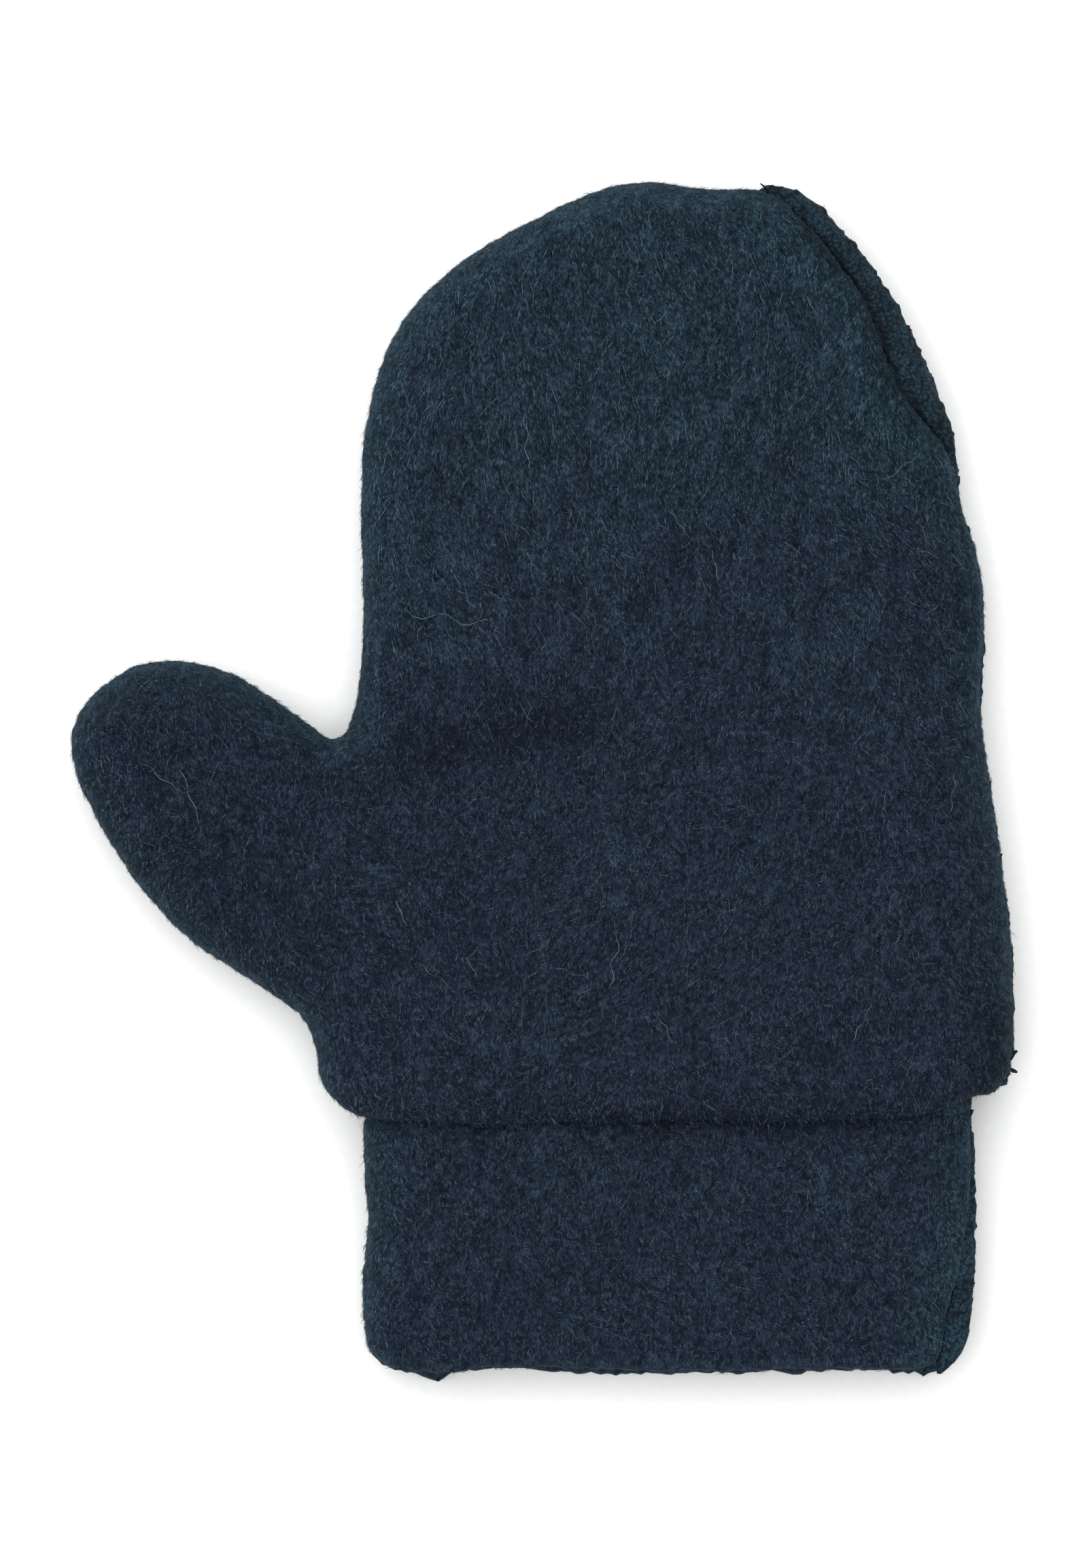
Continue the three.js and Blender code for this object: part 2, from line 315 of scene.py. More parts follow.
@dataclass(frozen=True)
class GranularFleece(Finish):
    """The fleece's unbrushed face and its cut edges: pilled grains of fibre, each about half a millimetre."""

    name: str = "granular_fleece"
    shades: Shades = ("#0A1217", "#182A36", "#2D4553")  # between the grains, on them and on the raised ones
    grain: float = 0.55 * MM
    patch: float = 4 * MM

    def surface(self, add: AddNode, place: NodeSocket) -> Traits:
        """Draw round grains over patches.

        Args:
            add: Adds a shader node to the material's tree.
            place: Where a point of the surface lies, in metres.

        Returns:
            The inputs of the surface shader.
        """
        grains = add("TexVoronoi", {"Vector": place, "Scale": 1 / self.grain, "Randomness": 1.0})
        patches = add("TexNoise", {"Vector": place, "Scale": 1 / self.patch, "Detail": 5.0})
        height = add("Math", {0: grains, 1: -0.75, 2: 0.85}, operation="MULTIPLY_ADD")
        mixed = add("Mix", {0: 0.3, 2: height, 3: patches}, data_type="FLOAT")
        # The cloth's dimness lowers the colour: painted shade in an open seam and along the hem's crease, among
        # other darkening
        stops = list(zip((0.3, 0.5, 0.72), self.shades))
        return {
            "Base Color": add("ValToRGB", {"Fac": dimmed(add, mixed, -0.28)}, stops),
            "Roughness": 0.95, "Specular IOR Level": 0.15,
            "Normal": add("Bump", {"Height": height, "Distance": 0.35 * MM, "Strength": 0.8}),
        }


@dataclass(frozen=True)
class NapFibre(Finish):
    """Dyed polyester staple, teased out by brushing: soft strands, navy to teal, a few of them pale.

    A strand is drawn three times as thick as the real 0.03 mm, because that is the least that shows, and on
    the palm's side five times, because fewer of them cover the cloth there.
    """

    name: str = "nap_fibre"
    navy: Shades = ("#050C1B", "#15243A", "#2D3A4D", "#46525F")
    teal: Shades = ("#040F18", "#162D3B", "#304C59", "#4B6672")
    patch: float = 7 * MM
    curl: float = 0.42 * MM
    curl_stretch: float = 0.6
    base_tone: float = -1.93

    def surface(self, add: AddNode, place: NodeSocket) -> Traits:
        """Vary the strands by their own "shade" attribute, over patches and matted curls.

        Args:
            add: Adds a shader node to the material's tree.
            place: Where a point of the surface lies, in metres.

        Returns:
            The inputs of the surface shader.
        """
        shade = add("Attribute", attribute_name="shade").outputs["Fac"]
        patches = add("TexNoise", {"Vector": place, "Scale": 1 / self.patch, "Detail": 5.0})
        combed = add("Mapping", {"Vector": place, "Scale": (1.0, self.curl_stretch, 1.0)})
        curls = add("TexNoise", {"Vector": combed, "Scale": 1 / self.curl, "Detail": 1.5})
        tone = self.base_tone
        for source, share in ((shade, 0.95), (patches, 0.3), (curls, 3.6)):
            tone = add("Math", {0: source, 1: share, 2: tone}, operation="MULTIPLY_ADD")
        colour = dyed(add, tone, (0.05, 0.5, 0.95, 1.0), self.navy, self.teal)
        return {"Base Color": colour, "Roughness": 0.8, "Specular IOR Level": 0.2}


@dataclass(frozen=True)
class Mottled(Finish):
    """A plain matte surface that is a little paler here and there."""

    name: str
    shades: Shades
    stops: tuple[float, float]
    size: float
    roughness: float

    def surface(self, add: AddNode, place: NodeSocket) -> Traits:
        """Fade between the shades.

        Args:
            add: Adds a shader node to the material's tree.
            place: Where a point of the surface lies, in metres.

        Returns:
            The inputs of the surface shader.
        """
        tone = add("TexNoise", {"Vector": place, "Scale": 1 / self.size, "Detail": 2.0})
        colour = add("ValToRGB", {"Fac": tone}, list(zip(self.stops, self.shades)))
        return {"Base Color": colour, "Roughness": self.roughness}


@dataclass(frozen=True)
class PaleHair(Mottled):
    """Loose undyed fibres caught in the nap: thin, grey teal and slightly glossy, paler along a part of each."""

    name: str = "pale_hair"
    shades: Shades = ("#2C3C48", "#7A8E99")
    stops: tuple[float, float] = (0.35, 0.7)
    size: float = 2 * MM
    roughness: float = 0.55


@dataclass(frozen=True)
class StudioPaper(Mottled):
    """Seamless white paper, matte and nearly even."""

    name: str = "studio_paper"
    shades: Shades = ("#F4F4F4", "#FCFCFC")
    stops: tuple[float, float] = (0.0, 1.0)
    size: float = 1 / 900
    roughness: float = 1.0


@dataclass(frozen=True)
class OverlockThread(Finish):
    """Spun polyester sewing thread, nearly black: matte, in diagonal bands that vary its tone along the seam.

    The bands are 3 to 5 mm wide, about ten times the real twist of 0.4 mm, which hardly shows on so dark a thread.
    """

    name: str = "overlock_thread"
    shades: Shades = ("#07090C", "#182129")
    twist: float = 0.4 * MM
    coarsening: float = 20.0  # with Blender's 10 radians to a unit of scale, this makes the bands that wide

    def surface(self, add: AddNode, place: NodeSocket) -> Traits:
        """Draw dark and raised bands.

        Args:
            add: Adds a shader node to the material's tree.
            place: Where a point of the surface lies, in metres.

        Returns:
            The inputs of the surface shader.
        """
        bands = {"Vector": place, "Scale": 1 / self.twist / self.coarsening, "Distortion": 3.0}
        wave = add("TexWave", bands, bands_direction="DIAGONAL").outputs["Fac"]
        return {
            "Base Color": add("ValToRGB", {"Fac": wave}, list(zip((0.2, 0.8), self.shades))),
            "Roughness": 0.9, "Specular IOR Level": 0.1,
            "Normal": add("Bump", {"Height": wave, "Distance": 0.1 * MM}),
        }


@dataclass(frozen=True)
class Finishes:
    """The materials that the mitten's pieces share."""

    ground: Material
    granular: Material
    fibre: Material
    hair: Material
    thread: Material

    @classmethod
    def made(cls) -> "Finishes":
        """Build every finish and return them together."""
        kinds = (FleeceGround(), GranularFleece(), NapFibre(), PaleHair(), OverlockThread())
        return cls(*(kind.material() for kind in kinds))


class Body(Enum):
    """The parts that move as one."""

    HOOD = "hood"
    WRISTLET = "wristlet"


class Slot(Enum):
    """The record's material slots."""

    OUTER = "outer_fleece"
    INNER = "inner_fleece"
    THREAD = "seam_thread"


def made_mesh(name: str, work: BMesh) -> Mesh:
    """Turn a finished bmesh into a new mesh.

    Args:
        name: The mesh's name.
        work: The bmesh, which is freed.

    Returns:
        The mesh.
    """
    mesh = bpy.data.meshes.new(name)
    work.to_mesh(mesh)
    work.free()
    return mesh


def new_object(name: str, data: Mesh | Light | Camera) -> Object:
    """Link a mesh, a light or a camera to the scene.

    Args:
        name: The new object's name.
        data: What it shows.

    Returns:
        The object.
    """
    obj = bpy.data.objects.new(name, data)
    bpy.context.scene.collection.objects.link(obj)
    return obj


def closed_object(name: str, work: BMesh, material: Material) -> Object:
    """Turn a finished bmesh into an object with outward faces.

    Args:
        name: The piece's name.
        work: The bmesh, which is freed.
        material: The piece's only material.

    Returns:
        The object.
    """
    bmesh.ops.recalc_face_normals(work, faces=work.faces)
    mesh = made_mesh(name, work)
    mesh.materials.append(material)
    mesh.shade_smooth()
    return new_object(name, mesh)


def dress(obj: Object, body: Body, slot: Slot) -> None:
    """Finish a piece and report it.

    Args:
        obj: The piece.
        body: The body that it rides on.
        slot: Its material slot in the record; not used.
    """
    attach(obj, body.value)
    LOG.info("%s: %d faces", obj.name, len(obj.data.polygons))


def baked(obj: Object) -> None:
    """Apply all of an object's modifiers.

    Args:
        obj: The object, which gets a new mesh.
    """
    done = bpy.data.meshes.new_from_object(obj.evaluated_get(bpy.context.evaluated_depsgraph_get()))
    before = obj.data
    obj.modifiers.clear()
    obj.data = done
    bpy.data.meshes.remove(before)


def ray_tree(obj: Object) -> BVHTree:
    """Index an object's faces for rays."""
    return BVHTree.FromObject(obj, bpy.context.evaluated_depsgraph_get())


def point_tree(places: Sequence[Vector]) -> KDTree:
    """Index places, so that those nearest to a point can be found.

    Args:
        places: The places.

    Returns:
        The index, which gives a place's position in the list.
    """
    tree = KDTree(len(places))
    for index, place in enumerate(places):
        tree.insert(place, index)
    tree.balance()
    return tree


def smoothed(work: BMesh, times: int) -> None:
    """Smooth all of a bmesh's vertices a number of times."""
    for _ in range(times):
        bmesh.ops.smooth_vert(work, verts=work.verts, factor=0.5, use_axis_x=True, use_axis_y=True, use_axis_z=True)


def even_copy(node: str, voxel: float, relaxing: int = 0) -> BMesh:
    """Copy a solid of the frame with an even mesh.

    Args:
        node: The solid's name.
        voxel: The size of the new mesh's faces.
        relaxing: How many times the copy is smoothed.

    Returns:
        The copy.
    """
    work = bmesh.new()
    work.from_mesh(bpy.data.objects[node].data)
    bmesh.ops.remove_doubles(work, verts=work.verts, dist=0.001 * MM)
    obj = new_object(f"{node}_even", made_mesh(node, work))
    remesh = obj.modifiers.new("even", "REMESH")
    remesh.mode = "VOXEL"
    remesh.voxel_size = voxel
    baked(obj)
    work = bmesh.new()
    work.from_mesh(obj.data)
    bpy.data.meshes.remove(obj.data)
    smoothed(work, relaxing)
    work.normal_update()
    return work


def sweep(work: BMesh, points: list[Vector], radii: list[float], sides: int) -> None:
    """Sweep a closed round strand along points by extruding its end.

    Args:
        work: The bmesh that gets the strand.
        points: Where the strand runs.
        radii: Its radius at each point.
        sides: The corners of its section.
    """
    heading = (points[1] - points[0]).normalized()
    start = Matrix.Translation(points[0]) @ UP.rotation_difference(heading).to_matrix().to_4x4()
    ring = bmesh.ops.create_circle(work, cap_ends=True, segments=sides, radius=radii[0], matrix=start)["verts"]
    end = ring[0].link_faces[0]
    for step in range(1, len(points)):
        region = bmesh.ops.extrude_face_region(work, geom=[end, *end.edges, *end.verts])["geom"]
        end = next(item for item in region if isinstance(item, BMFace))
        after = (points[min(step + 1, len(points) - 1)] - points[step - 1]).normalized()
        bmesh.ops.translate(work, verts=end.verts, vec=points[step] - points[step - 1])
        space = Matrix.Translation(-points[step])
        bmesh.ops.scale(work, verts=end.verts, vec=(radii[step] / radii[step - 1],) * 3, space=space)
        turn = heading.rotation_difference(after).to_matrix()
        bmesh.ops.rotate(work, verts=end.verts, cent=points[step], matrix=turn)
        heading = after


def way_along(work: BMesh, start: BMVert) -> dict[BMVert, float]:
    """Measure how far each vertex is from one of them, along the mesh's edges.

    Args:
        work: The mesh.
        start: The vertex that the distances start from.

    Returns:
        The distances.
    """
    far = {start: 0.0}
    heap = [(0.0, start.index)]
    work.verts.ensure_lookup_table()
    while heap:
        passed, index = heapq.heappop(heap)
        vert = work.verts[index]
        if passed > far[vert]:
            continue
        for edge in vert.link_edges:
            other = edge.other_vert(vert)
            total = passed + edge.calc_length()
            if total < far.get(other, math.inf):
                far[other] = total
                heapq.heappush(heap, (total, other.index))
    return far


@functools.cache
def seam_line(node: str, voxel: float = 0.5 * MM, step: float = 0.85 * MM) -> tuple[Vector, ...]:
    """Find the middle line of a seam's long thin solid, from one end to the other.

    Args:
        node: The solid's name.
        voxel: The size of the faces that the line is found from.
        step: The distance between the line's points.

    Returns:
        The points.
    """
    work = even_copy(node, voxel)
    work.verts.ensure_lookup_table()
    first = way_along(work, work.verts[0])
    start = max(first, key=lambda vert: (first[vert], vert.index))
    groups = defaultdict(list)
    for vert, passed in way_along(work, start).items():
        groups[int(passed / step)].append(vert.co)
    places = [sum(group, Vector()) / len(group) for _, group in sorted(groups.items()) if len(group) > 3]
    for _ in range(2):
        inner = [(a + 2 * b + c) / 4 for a, b, c in zip(places, places[1:], places[2:])]
        places = [places[0], *inner, places[-1]]
    work.free()
    return tuple(places)


@dataclass(frozen=True)
class HemLine:
    """The line where the hood's hem lies on the cuff, and the soft crease along it, with shade painted into the
    cloth there.
    """

    # Columns and rows of the photograph's pixels
    run: Line = (
        (468, 1652), (520, 1649), (560, 1643), (640, 1645), (700, 1649), (850, 1645), (1000, 1641), (1150, 1647),
        (1250, 1642), (1320, 1636), (1380, 1628), (1425, 1618), (1450, 1630), (1475, 1639), (1490, 1644),
    )
    # Columns, and how dark the shade painted in the crease is there, where the nap doesn't smudge it
    depth: Line = (
        (480, 0.1), (560, 0.25), (640, 0.5), (700, 0.75), (760, 0.5), (850, 0.9), (1240, 1.0), (1330, 0.5),
        (1430, 0.15),
    )
    # Widths and strengths of the painted shade: a narrow dark line in the crease and a broader soft band beside it
    crease: float = 0.9 * MM
    crease_dark: float = 0.16
    shade: float = 3.6 * MM
    shade_dark: float = 0.1
    lowest: float = 8 * MM

    def rise(self, place: Vector) -> float:
        """Give how far the hem lies above the straight wrist line at a place's column, in metres."""
        return (WRIST_PX[1] - read_line(self.run, to_photo(place)[0])) * MM_PER_PX * MM

    def dim(self, place: Vector) -> float:
        """Give how much shade is painted on the cloth toward the crease.

        Args:
            place: A point of the cloth.

        Returns:
            The painted shade, which is 0 but on the mitten's upper side.
        """
        if place.z < self.lowest or abs(place.y - WRIST_Y) > 4 * self.shade:
            return 0.0
        away = place.y - WRIST_Y - self.rise(place)
        # Painted shade under the hem's overhang
        dark = self.crease_dark * bell(away, self.crease) + self.shade_dark * bell(away, self.shade)
        return dark * read_line(self.depth, to_photo(place)[0])


HEM = HemLine()

# Where the nap is drawn darker: a line in the photograph, how far it reaches in mm, and how dark it is
WORN = (
    ((610, 1100), (840, 1060), 4.5, 0.22),  # beside the crotch of the thumb
    ((170, 1110), (400, 1300), 24.0, 0.09),  # the thumb
    ((1482, 1500), (1452, 1604), 3.2, 0.2),  # the hem's corner at the little finger's side
)

# How the nap swirls: the size of a swirl in mm, its turn in radians, and how much more it turns where it is matted
SWIRLS = ((25.0, 0.9, 0.0), (5.0, 0.4, 0.6), (0.8, 0.8, 1.2))


def smear(place: Vector) -> float:
    """Give how much darker the nap is drawn near the listed lines.

    Args:
        place: A point of the cloth.

    Returns:
        The dimness there.
    """
    total = 0.0
    for first, last, reach, dark in WORN:
        start, end = from_photo(*first), from_photo(*last)
        flat = Vector((place.x, place.y, 0.0))
        along = end - start
        share = min(1.0, max(0.0, (flat - start).dot(along) / along.length_squared))
        total += dark * bell((flat - start - along * share).length, reach * MM)
    return total


def nap_flow(place: Vector) -> Vector:
    """Give the way that the nap lies: combed along the fingers, matted in curls by wear below them.

    Args:
        place: A point of the cloth.

    Returns:
        A unit vector across the cloth.
    """
    matting = 1 - ease(place.y, -5 * MM, 55 * MM)
    swirl = sum(noise.noise(place / (size * MM)) * (turn + more * matting) for size, turn, more in SWIRLS)
    return Vector((math.sin(swirl), -math.cos(swirl), 0.0))


@dataclass
class SettledSheet:
    """How a panel of fleece that is cut a little too large settles between its seams, by cloth simulation.

    A single layer of cells stands for the panel, because a layer 2.2 mm thick is lost in a coarser remesh.
    """

    node: str
    cell: float = 3.5 * MM
    excess: float = 0.004
    pressure: float = 0.5
    cap: float = 1.2 * MM
    sink: float = 0.3 * MM
    frames: int = 20
    flattest: float = 0.8  # the least that a normal points up where the sheet lies
    neighbours: int = 6
    tree: KDTree | None = None
    rises: list[float] = field(default_factory=list)

    def settle(self) -> None:
        """Let the sheet settle over its solid, and keep how far each of its points rose."""
        sheet = self.laid()
        before = [vert.co.copy() for vert in sheet.data.vertices]
        cloth = sheet.modifiers.new("settling", "CLOTH")
        cloth.settings.vertex_group_mass = "seam"
        cloth.settings.shrink_min = -self.excess
        cloth.settings.use_pressure = True
        cloth.settings.uniform_pressure_force = self.pressure
        cloth.settings.effector_weights.gravity = 0.0
        for step in range(1, self.frames + 1):
            bpy.context.scene.frame_set(step)
        baked(sheet)
        bpy.context.scene.frame_set(1)
        self.tree = point_tree(before)
        after = sheet.data.vertices
        self.rises = [self.cap * math.tanh((vert.co.z - old.z) / self.cap) for old, vert in zip(before, after)]
        LOG.info("%s settled: %.2f to %.2f mm", self.node, min(self.rises) / MM, max(self.rises) / MM)
        bpy.data.meshes.remove(sheet.data)

    def laid(self) -> Object:
        """Lay a grid on the solid's upper side.

        Returns:
            The grid's object, with the rim in a vertex group that holds it.
        """
        solid = ray_tree(bpy.data.objects[self.node])
        low, high = (Vector(corner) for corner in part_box(self.node))
        size = high - low
        work = bmesh.new()
        across, along = round(size.x / self.cell), round(size.y / self.cell)
        bmesh.ops.create_grid(work, x_segments=across, y_segments=along, size=0.5)
        bmesh.ops.scale(work, verts=work.verts, vec=(size.x, size.y, 1.0))
        bmesh.ops.translate(work, verts=work.verts, vec=(low + high) / 2)
        lost = []
        for vert in work.verts:
            hit, normal, _, _ = solid.ray_cast(Vector((vert.co.x, vert.co.y, high.z + MM)), -UP)
            if hit is None or normal.z < self.flattest:
                lost.append(vert)
            else:
                vert.co.z = hit.z
        bmesh.ops.delete(work, geom=lost, context="VERTS")
        held = [index for index, vert in enumerate(work.verts) if vert.is_boundary or vert.is_wire]
        sheet = new_object(f"{self.node}_sheet", made_mesh(f"{self.node}_sheet", work))
        sheet.vertex_groups.new(name="seam").add(held, 1.0, "REPLACE")
        return sheet

    def rise(self, place: Vector) -> Vector:
        """Give how far the cloth has risen or sunk.

        Args:
            place: A point of the cloth.

        Returns:
            The move, which is never so far down that it reaches the layer below.
        """
        total = weight = 0.0
        for _, index, away in self.tree.find_n(place, self.neighbours):
            share = bell(away, self.cell)
            total += share * self.rises[index]
            weight += share
        return UP * max(-self.sink, total / weight) if weight > 1e-3 else Vector()


@dataclass
class Hollow:
    """The space between two panels, which tells a panel's inner face from its outer one."""

    above: Object
    below: Object
    probe: float = 1.5 * MM
    trees: list[BVHTree] = field(default_factory=list)

    def __post_init__(self) -> None:
        """Index both panels."""
        self.trees = [ray_tree(panel) for panel in (self.above, self.below)]

    def faces(self, place: Vector, normal: Vector) -> bool:
        """Say whether a face looks into the hollow: there is cloth above and below the air in front of it."""
        out = place + normal * self.probe
        return all(tree.ray_cast(out, way)[0] is not None for tree, way in zip(self.trees, (UP, -UP)))

    def open_to(self, place: Vector, normal: Vector) -> float:
        """Give 1 on an outer face and 0 on an inner one."""
        return float(not self.faces(place, normal))

    def brushed(self, pilled: PointTest) -> PointTest:
        """Give the test for an outer face that isn't a pilled cut edge."""
        return lambda place, normal: self.open_to(place, normal) * (1 - pilled(place, normal))


@dataclass
class ClothPanel:
    """One cut panel of fleece, with its thickness, its soft cut edges and its unevenness.

    Its functions say, at a place: how far its seam lies open as a groove, how much of its pilled cut edge
    shows, and where the cloth lies, if it isn't where its solid is.
    """

    name: str
    node: str
    body: Body
    slot: Slot
    flat: tuple[float, float]
    seams: tuple[str, ...]
    flat_area: float | None = None
    groove: PlaceShare | None = None
    pilled: PointTest | None = None
    lie: PointMove | None = None
    settled: SettledSheet | None = None
    voxel: float = 0.72 * MM
    relaxing: int = 4
    clump: float = 3.4 * MM
    clump_height: float = 0.2 * MM
    grain: float = 1.1 * MM
    grain_height: float = 0.22 * MM
    pill: float = 1.1 * MM
    pill_height: float = 0.75 * MM
    pill_base: float = 0.4
    swell: float = 0.42 * MM
    floor: float = 0.02 * MM
    seam_pull: float = 0.6 * MM
    seam_grip: float = 1.4 * MM
    seam_reach: float = 4.5 * MM
    seam_band: float = 11 * MM
    groove_slack: float = 0.7
    hollow_width: float = 1.1 * MM
    hollow_length: float = 3.4 * MM
    hollow_depth: float = 0.3
    # The teal cast: how much of it there is everywhere, at the tips, at edges as a painted sheen, in patches and
    # along seams
    teal_shares: tuple[float, ...] = (0.05, 0.5, 0.5, 0.3, 0.75)
    tips: tuple[float, float] = (5 * MM, 62 * MM)
    patch: float = 12 * MM
    # The shadow in an open seam, the paler margin beside it and the paler band along every seam
    shadow_shares: tuple[float, float, float] = (0.33, -0.04, -0.04)
    gap_widths: tuple[float, float] = (2.3 * MM, 3.8 * MM)
    margin: float = 5 * MM
    margin_width: float = 2 * MM
    naps: list[Object] = field(default_factory=list)
    obj: Object | None = None

    def build(self) -> None:
        """Make the panel from its solid: uneven, drawn in at its seams, settled and laid where it lies."""
        work = even_copy(self.node, self.voxel, self.relaxing)
        tree = self.seam_tree()
        for vert in work.verts:
            rough = noise.noise(vert.co / self.clump) * self.clump_height
            rough += noise.noise(vert.co / self.grain) * self.grain_height + self.swell
            if self.pilled:
                share = self.pilled(vert.co, vert.normal)
                rough += share * (self.pill_base + abs(noise.noise(vert.co / self.pill))) * self.pill_height
            near, _, away = tree.find(vert.co)
            pull = self.seam_pull * (1 - ease(away, self.seam_grip, self.seam_reach))
            pull *= 1 - self.groove_slack * self.opened(vert.co)
            vert.co += vert.normal * rough + (near - vert.co).normalized() * pull
        for vert in work.verts:
            if self.settled:
                vert.co += self.settled.rise(vert.co)
            if self.lie:
                vert.co = self.lie(vert.co)
            vert.co.z = max(vert.co.z, self.floor)
        self.obj = new_object(self.name, made_mesh(self.name, work))
        self.tone()

    def opened(self, place: Vector) -> float:
        """Say how far the panel's seam lies open as a groove at a place, from 0 to 1."""
        return self.groove(place) if self.groove else 0.0

    def seam_tree(self) -> KDTree:
        """Index the middle lines of the panel's seams."""
        return point_tree([place for node in self.seams for place in seam_line(node)])

    def tone(self) -> None:
        """Store how teal the cloth is at each point, more at seams and tips and as a painted sheen at edges, and
        how dim it is, with painted shade in an open seam and along the hem's crease.
        """
        mesh = self.obj.data
        tree = self.seam_tree()
        cast = mesh.attributes.new("teal", "FLOAT", "POINT")
        # dim holds the listed darker places, random dark spots, painted shade in an open seam and along the hem's
        # crease, and paler seam bands
        dim = mesh.attributes.new("dim", "FLOAT", "POINT")
        base, by_tips, by_edge, by_patch, by_seam = self.teal_shares
        by_gap, by_margin, by_band = self.shadow_shares
        for vert, teal, shadow in zip(mesh.vertices, cast.data, dim.data):
            place = vert.co
            # The teal cast grows where the cloth turns away from flat: a painted sheen on its edges
            edge = 1 - abs(vert.normal.z)
            tips = ease(place.y, *self.tips)
            patch = noise.noise(place / self.patch)
            away = tree.find(place)[2]
            band = 1 - ease(away, 0.0, self.seam_band)
            cover = base + by_tips * tips + by_edge * edge + by_patch * patch + by_seam * band
            teal.value = min(1.0, max(0.0, cover))
            opened = self.opened(place)
            # Painted shade in an open seam's groove, and the paler margin beside it
            gap = opened * (bell(away, self.gap_widths[0]) + 0.4 * bell(away, self.gap_widths[1]))
            margin = opened * bell(away - self.margin, self.margin_width)
            long = self.hollow_width + (self.hollow_length - self.hollow_width) * ease(place.y, -5 * MM, 45 * MM)
            spot = Vector((place.x / self.hollow_width, place.y / long, place.z / self.hollow_width))
            # The listed darker places, painted shade along the hem's crease and random dark spots, then the open
            # seam's painted shade and paler bands
            shadow.value = smear(place) + HEM.dim(place) + noise.noise(spot) * self.hollow_depth
            shadow.value += by_gap * gap + by_margin * margin + by_band * band

    def finish(self, finishes: Finishes, hollow: Hollow) -> None:
        """Dress the panel, put it on its body and let it stand for its solid.

        Args:
            finishes: The shared materials.
            hollow: The space that the panel's unbrushed face looks into.
        """
        mesh = self.obj.data
        mesh.materials.append(finishes.ground)
        mesh.materials.append(finishes.granular)
        for face in mesh.polygons:
            bare = hollow.faces(face.center, face.normal)
            bare = bare or bool(self.pilled) and self.pilled(face.center, face.normal) > 0.5
            face.material_index = int(bare)
        mesh.shade_smooth()
        dress(self.obj, self.body, self.slot)
        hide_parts(self.node)
        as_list(self.naps)


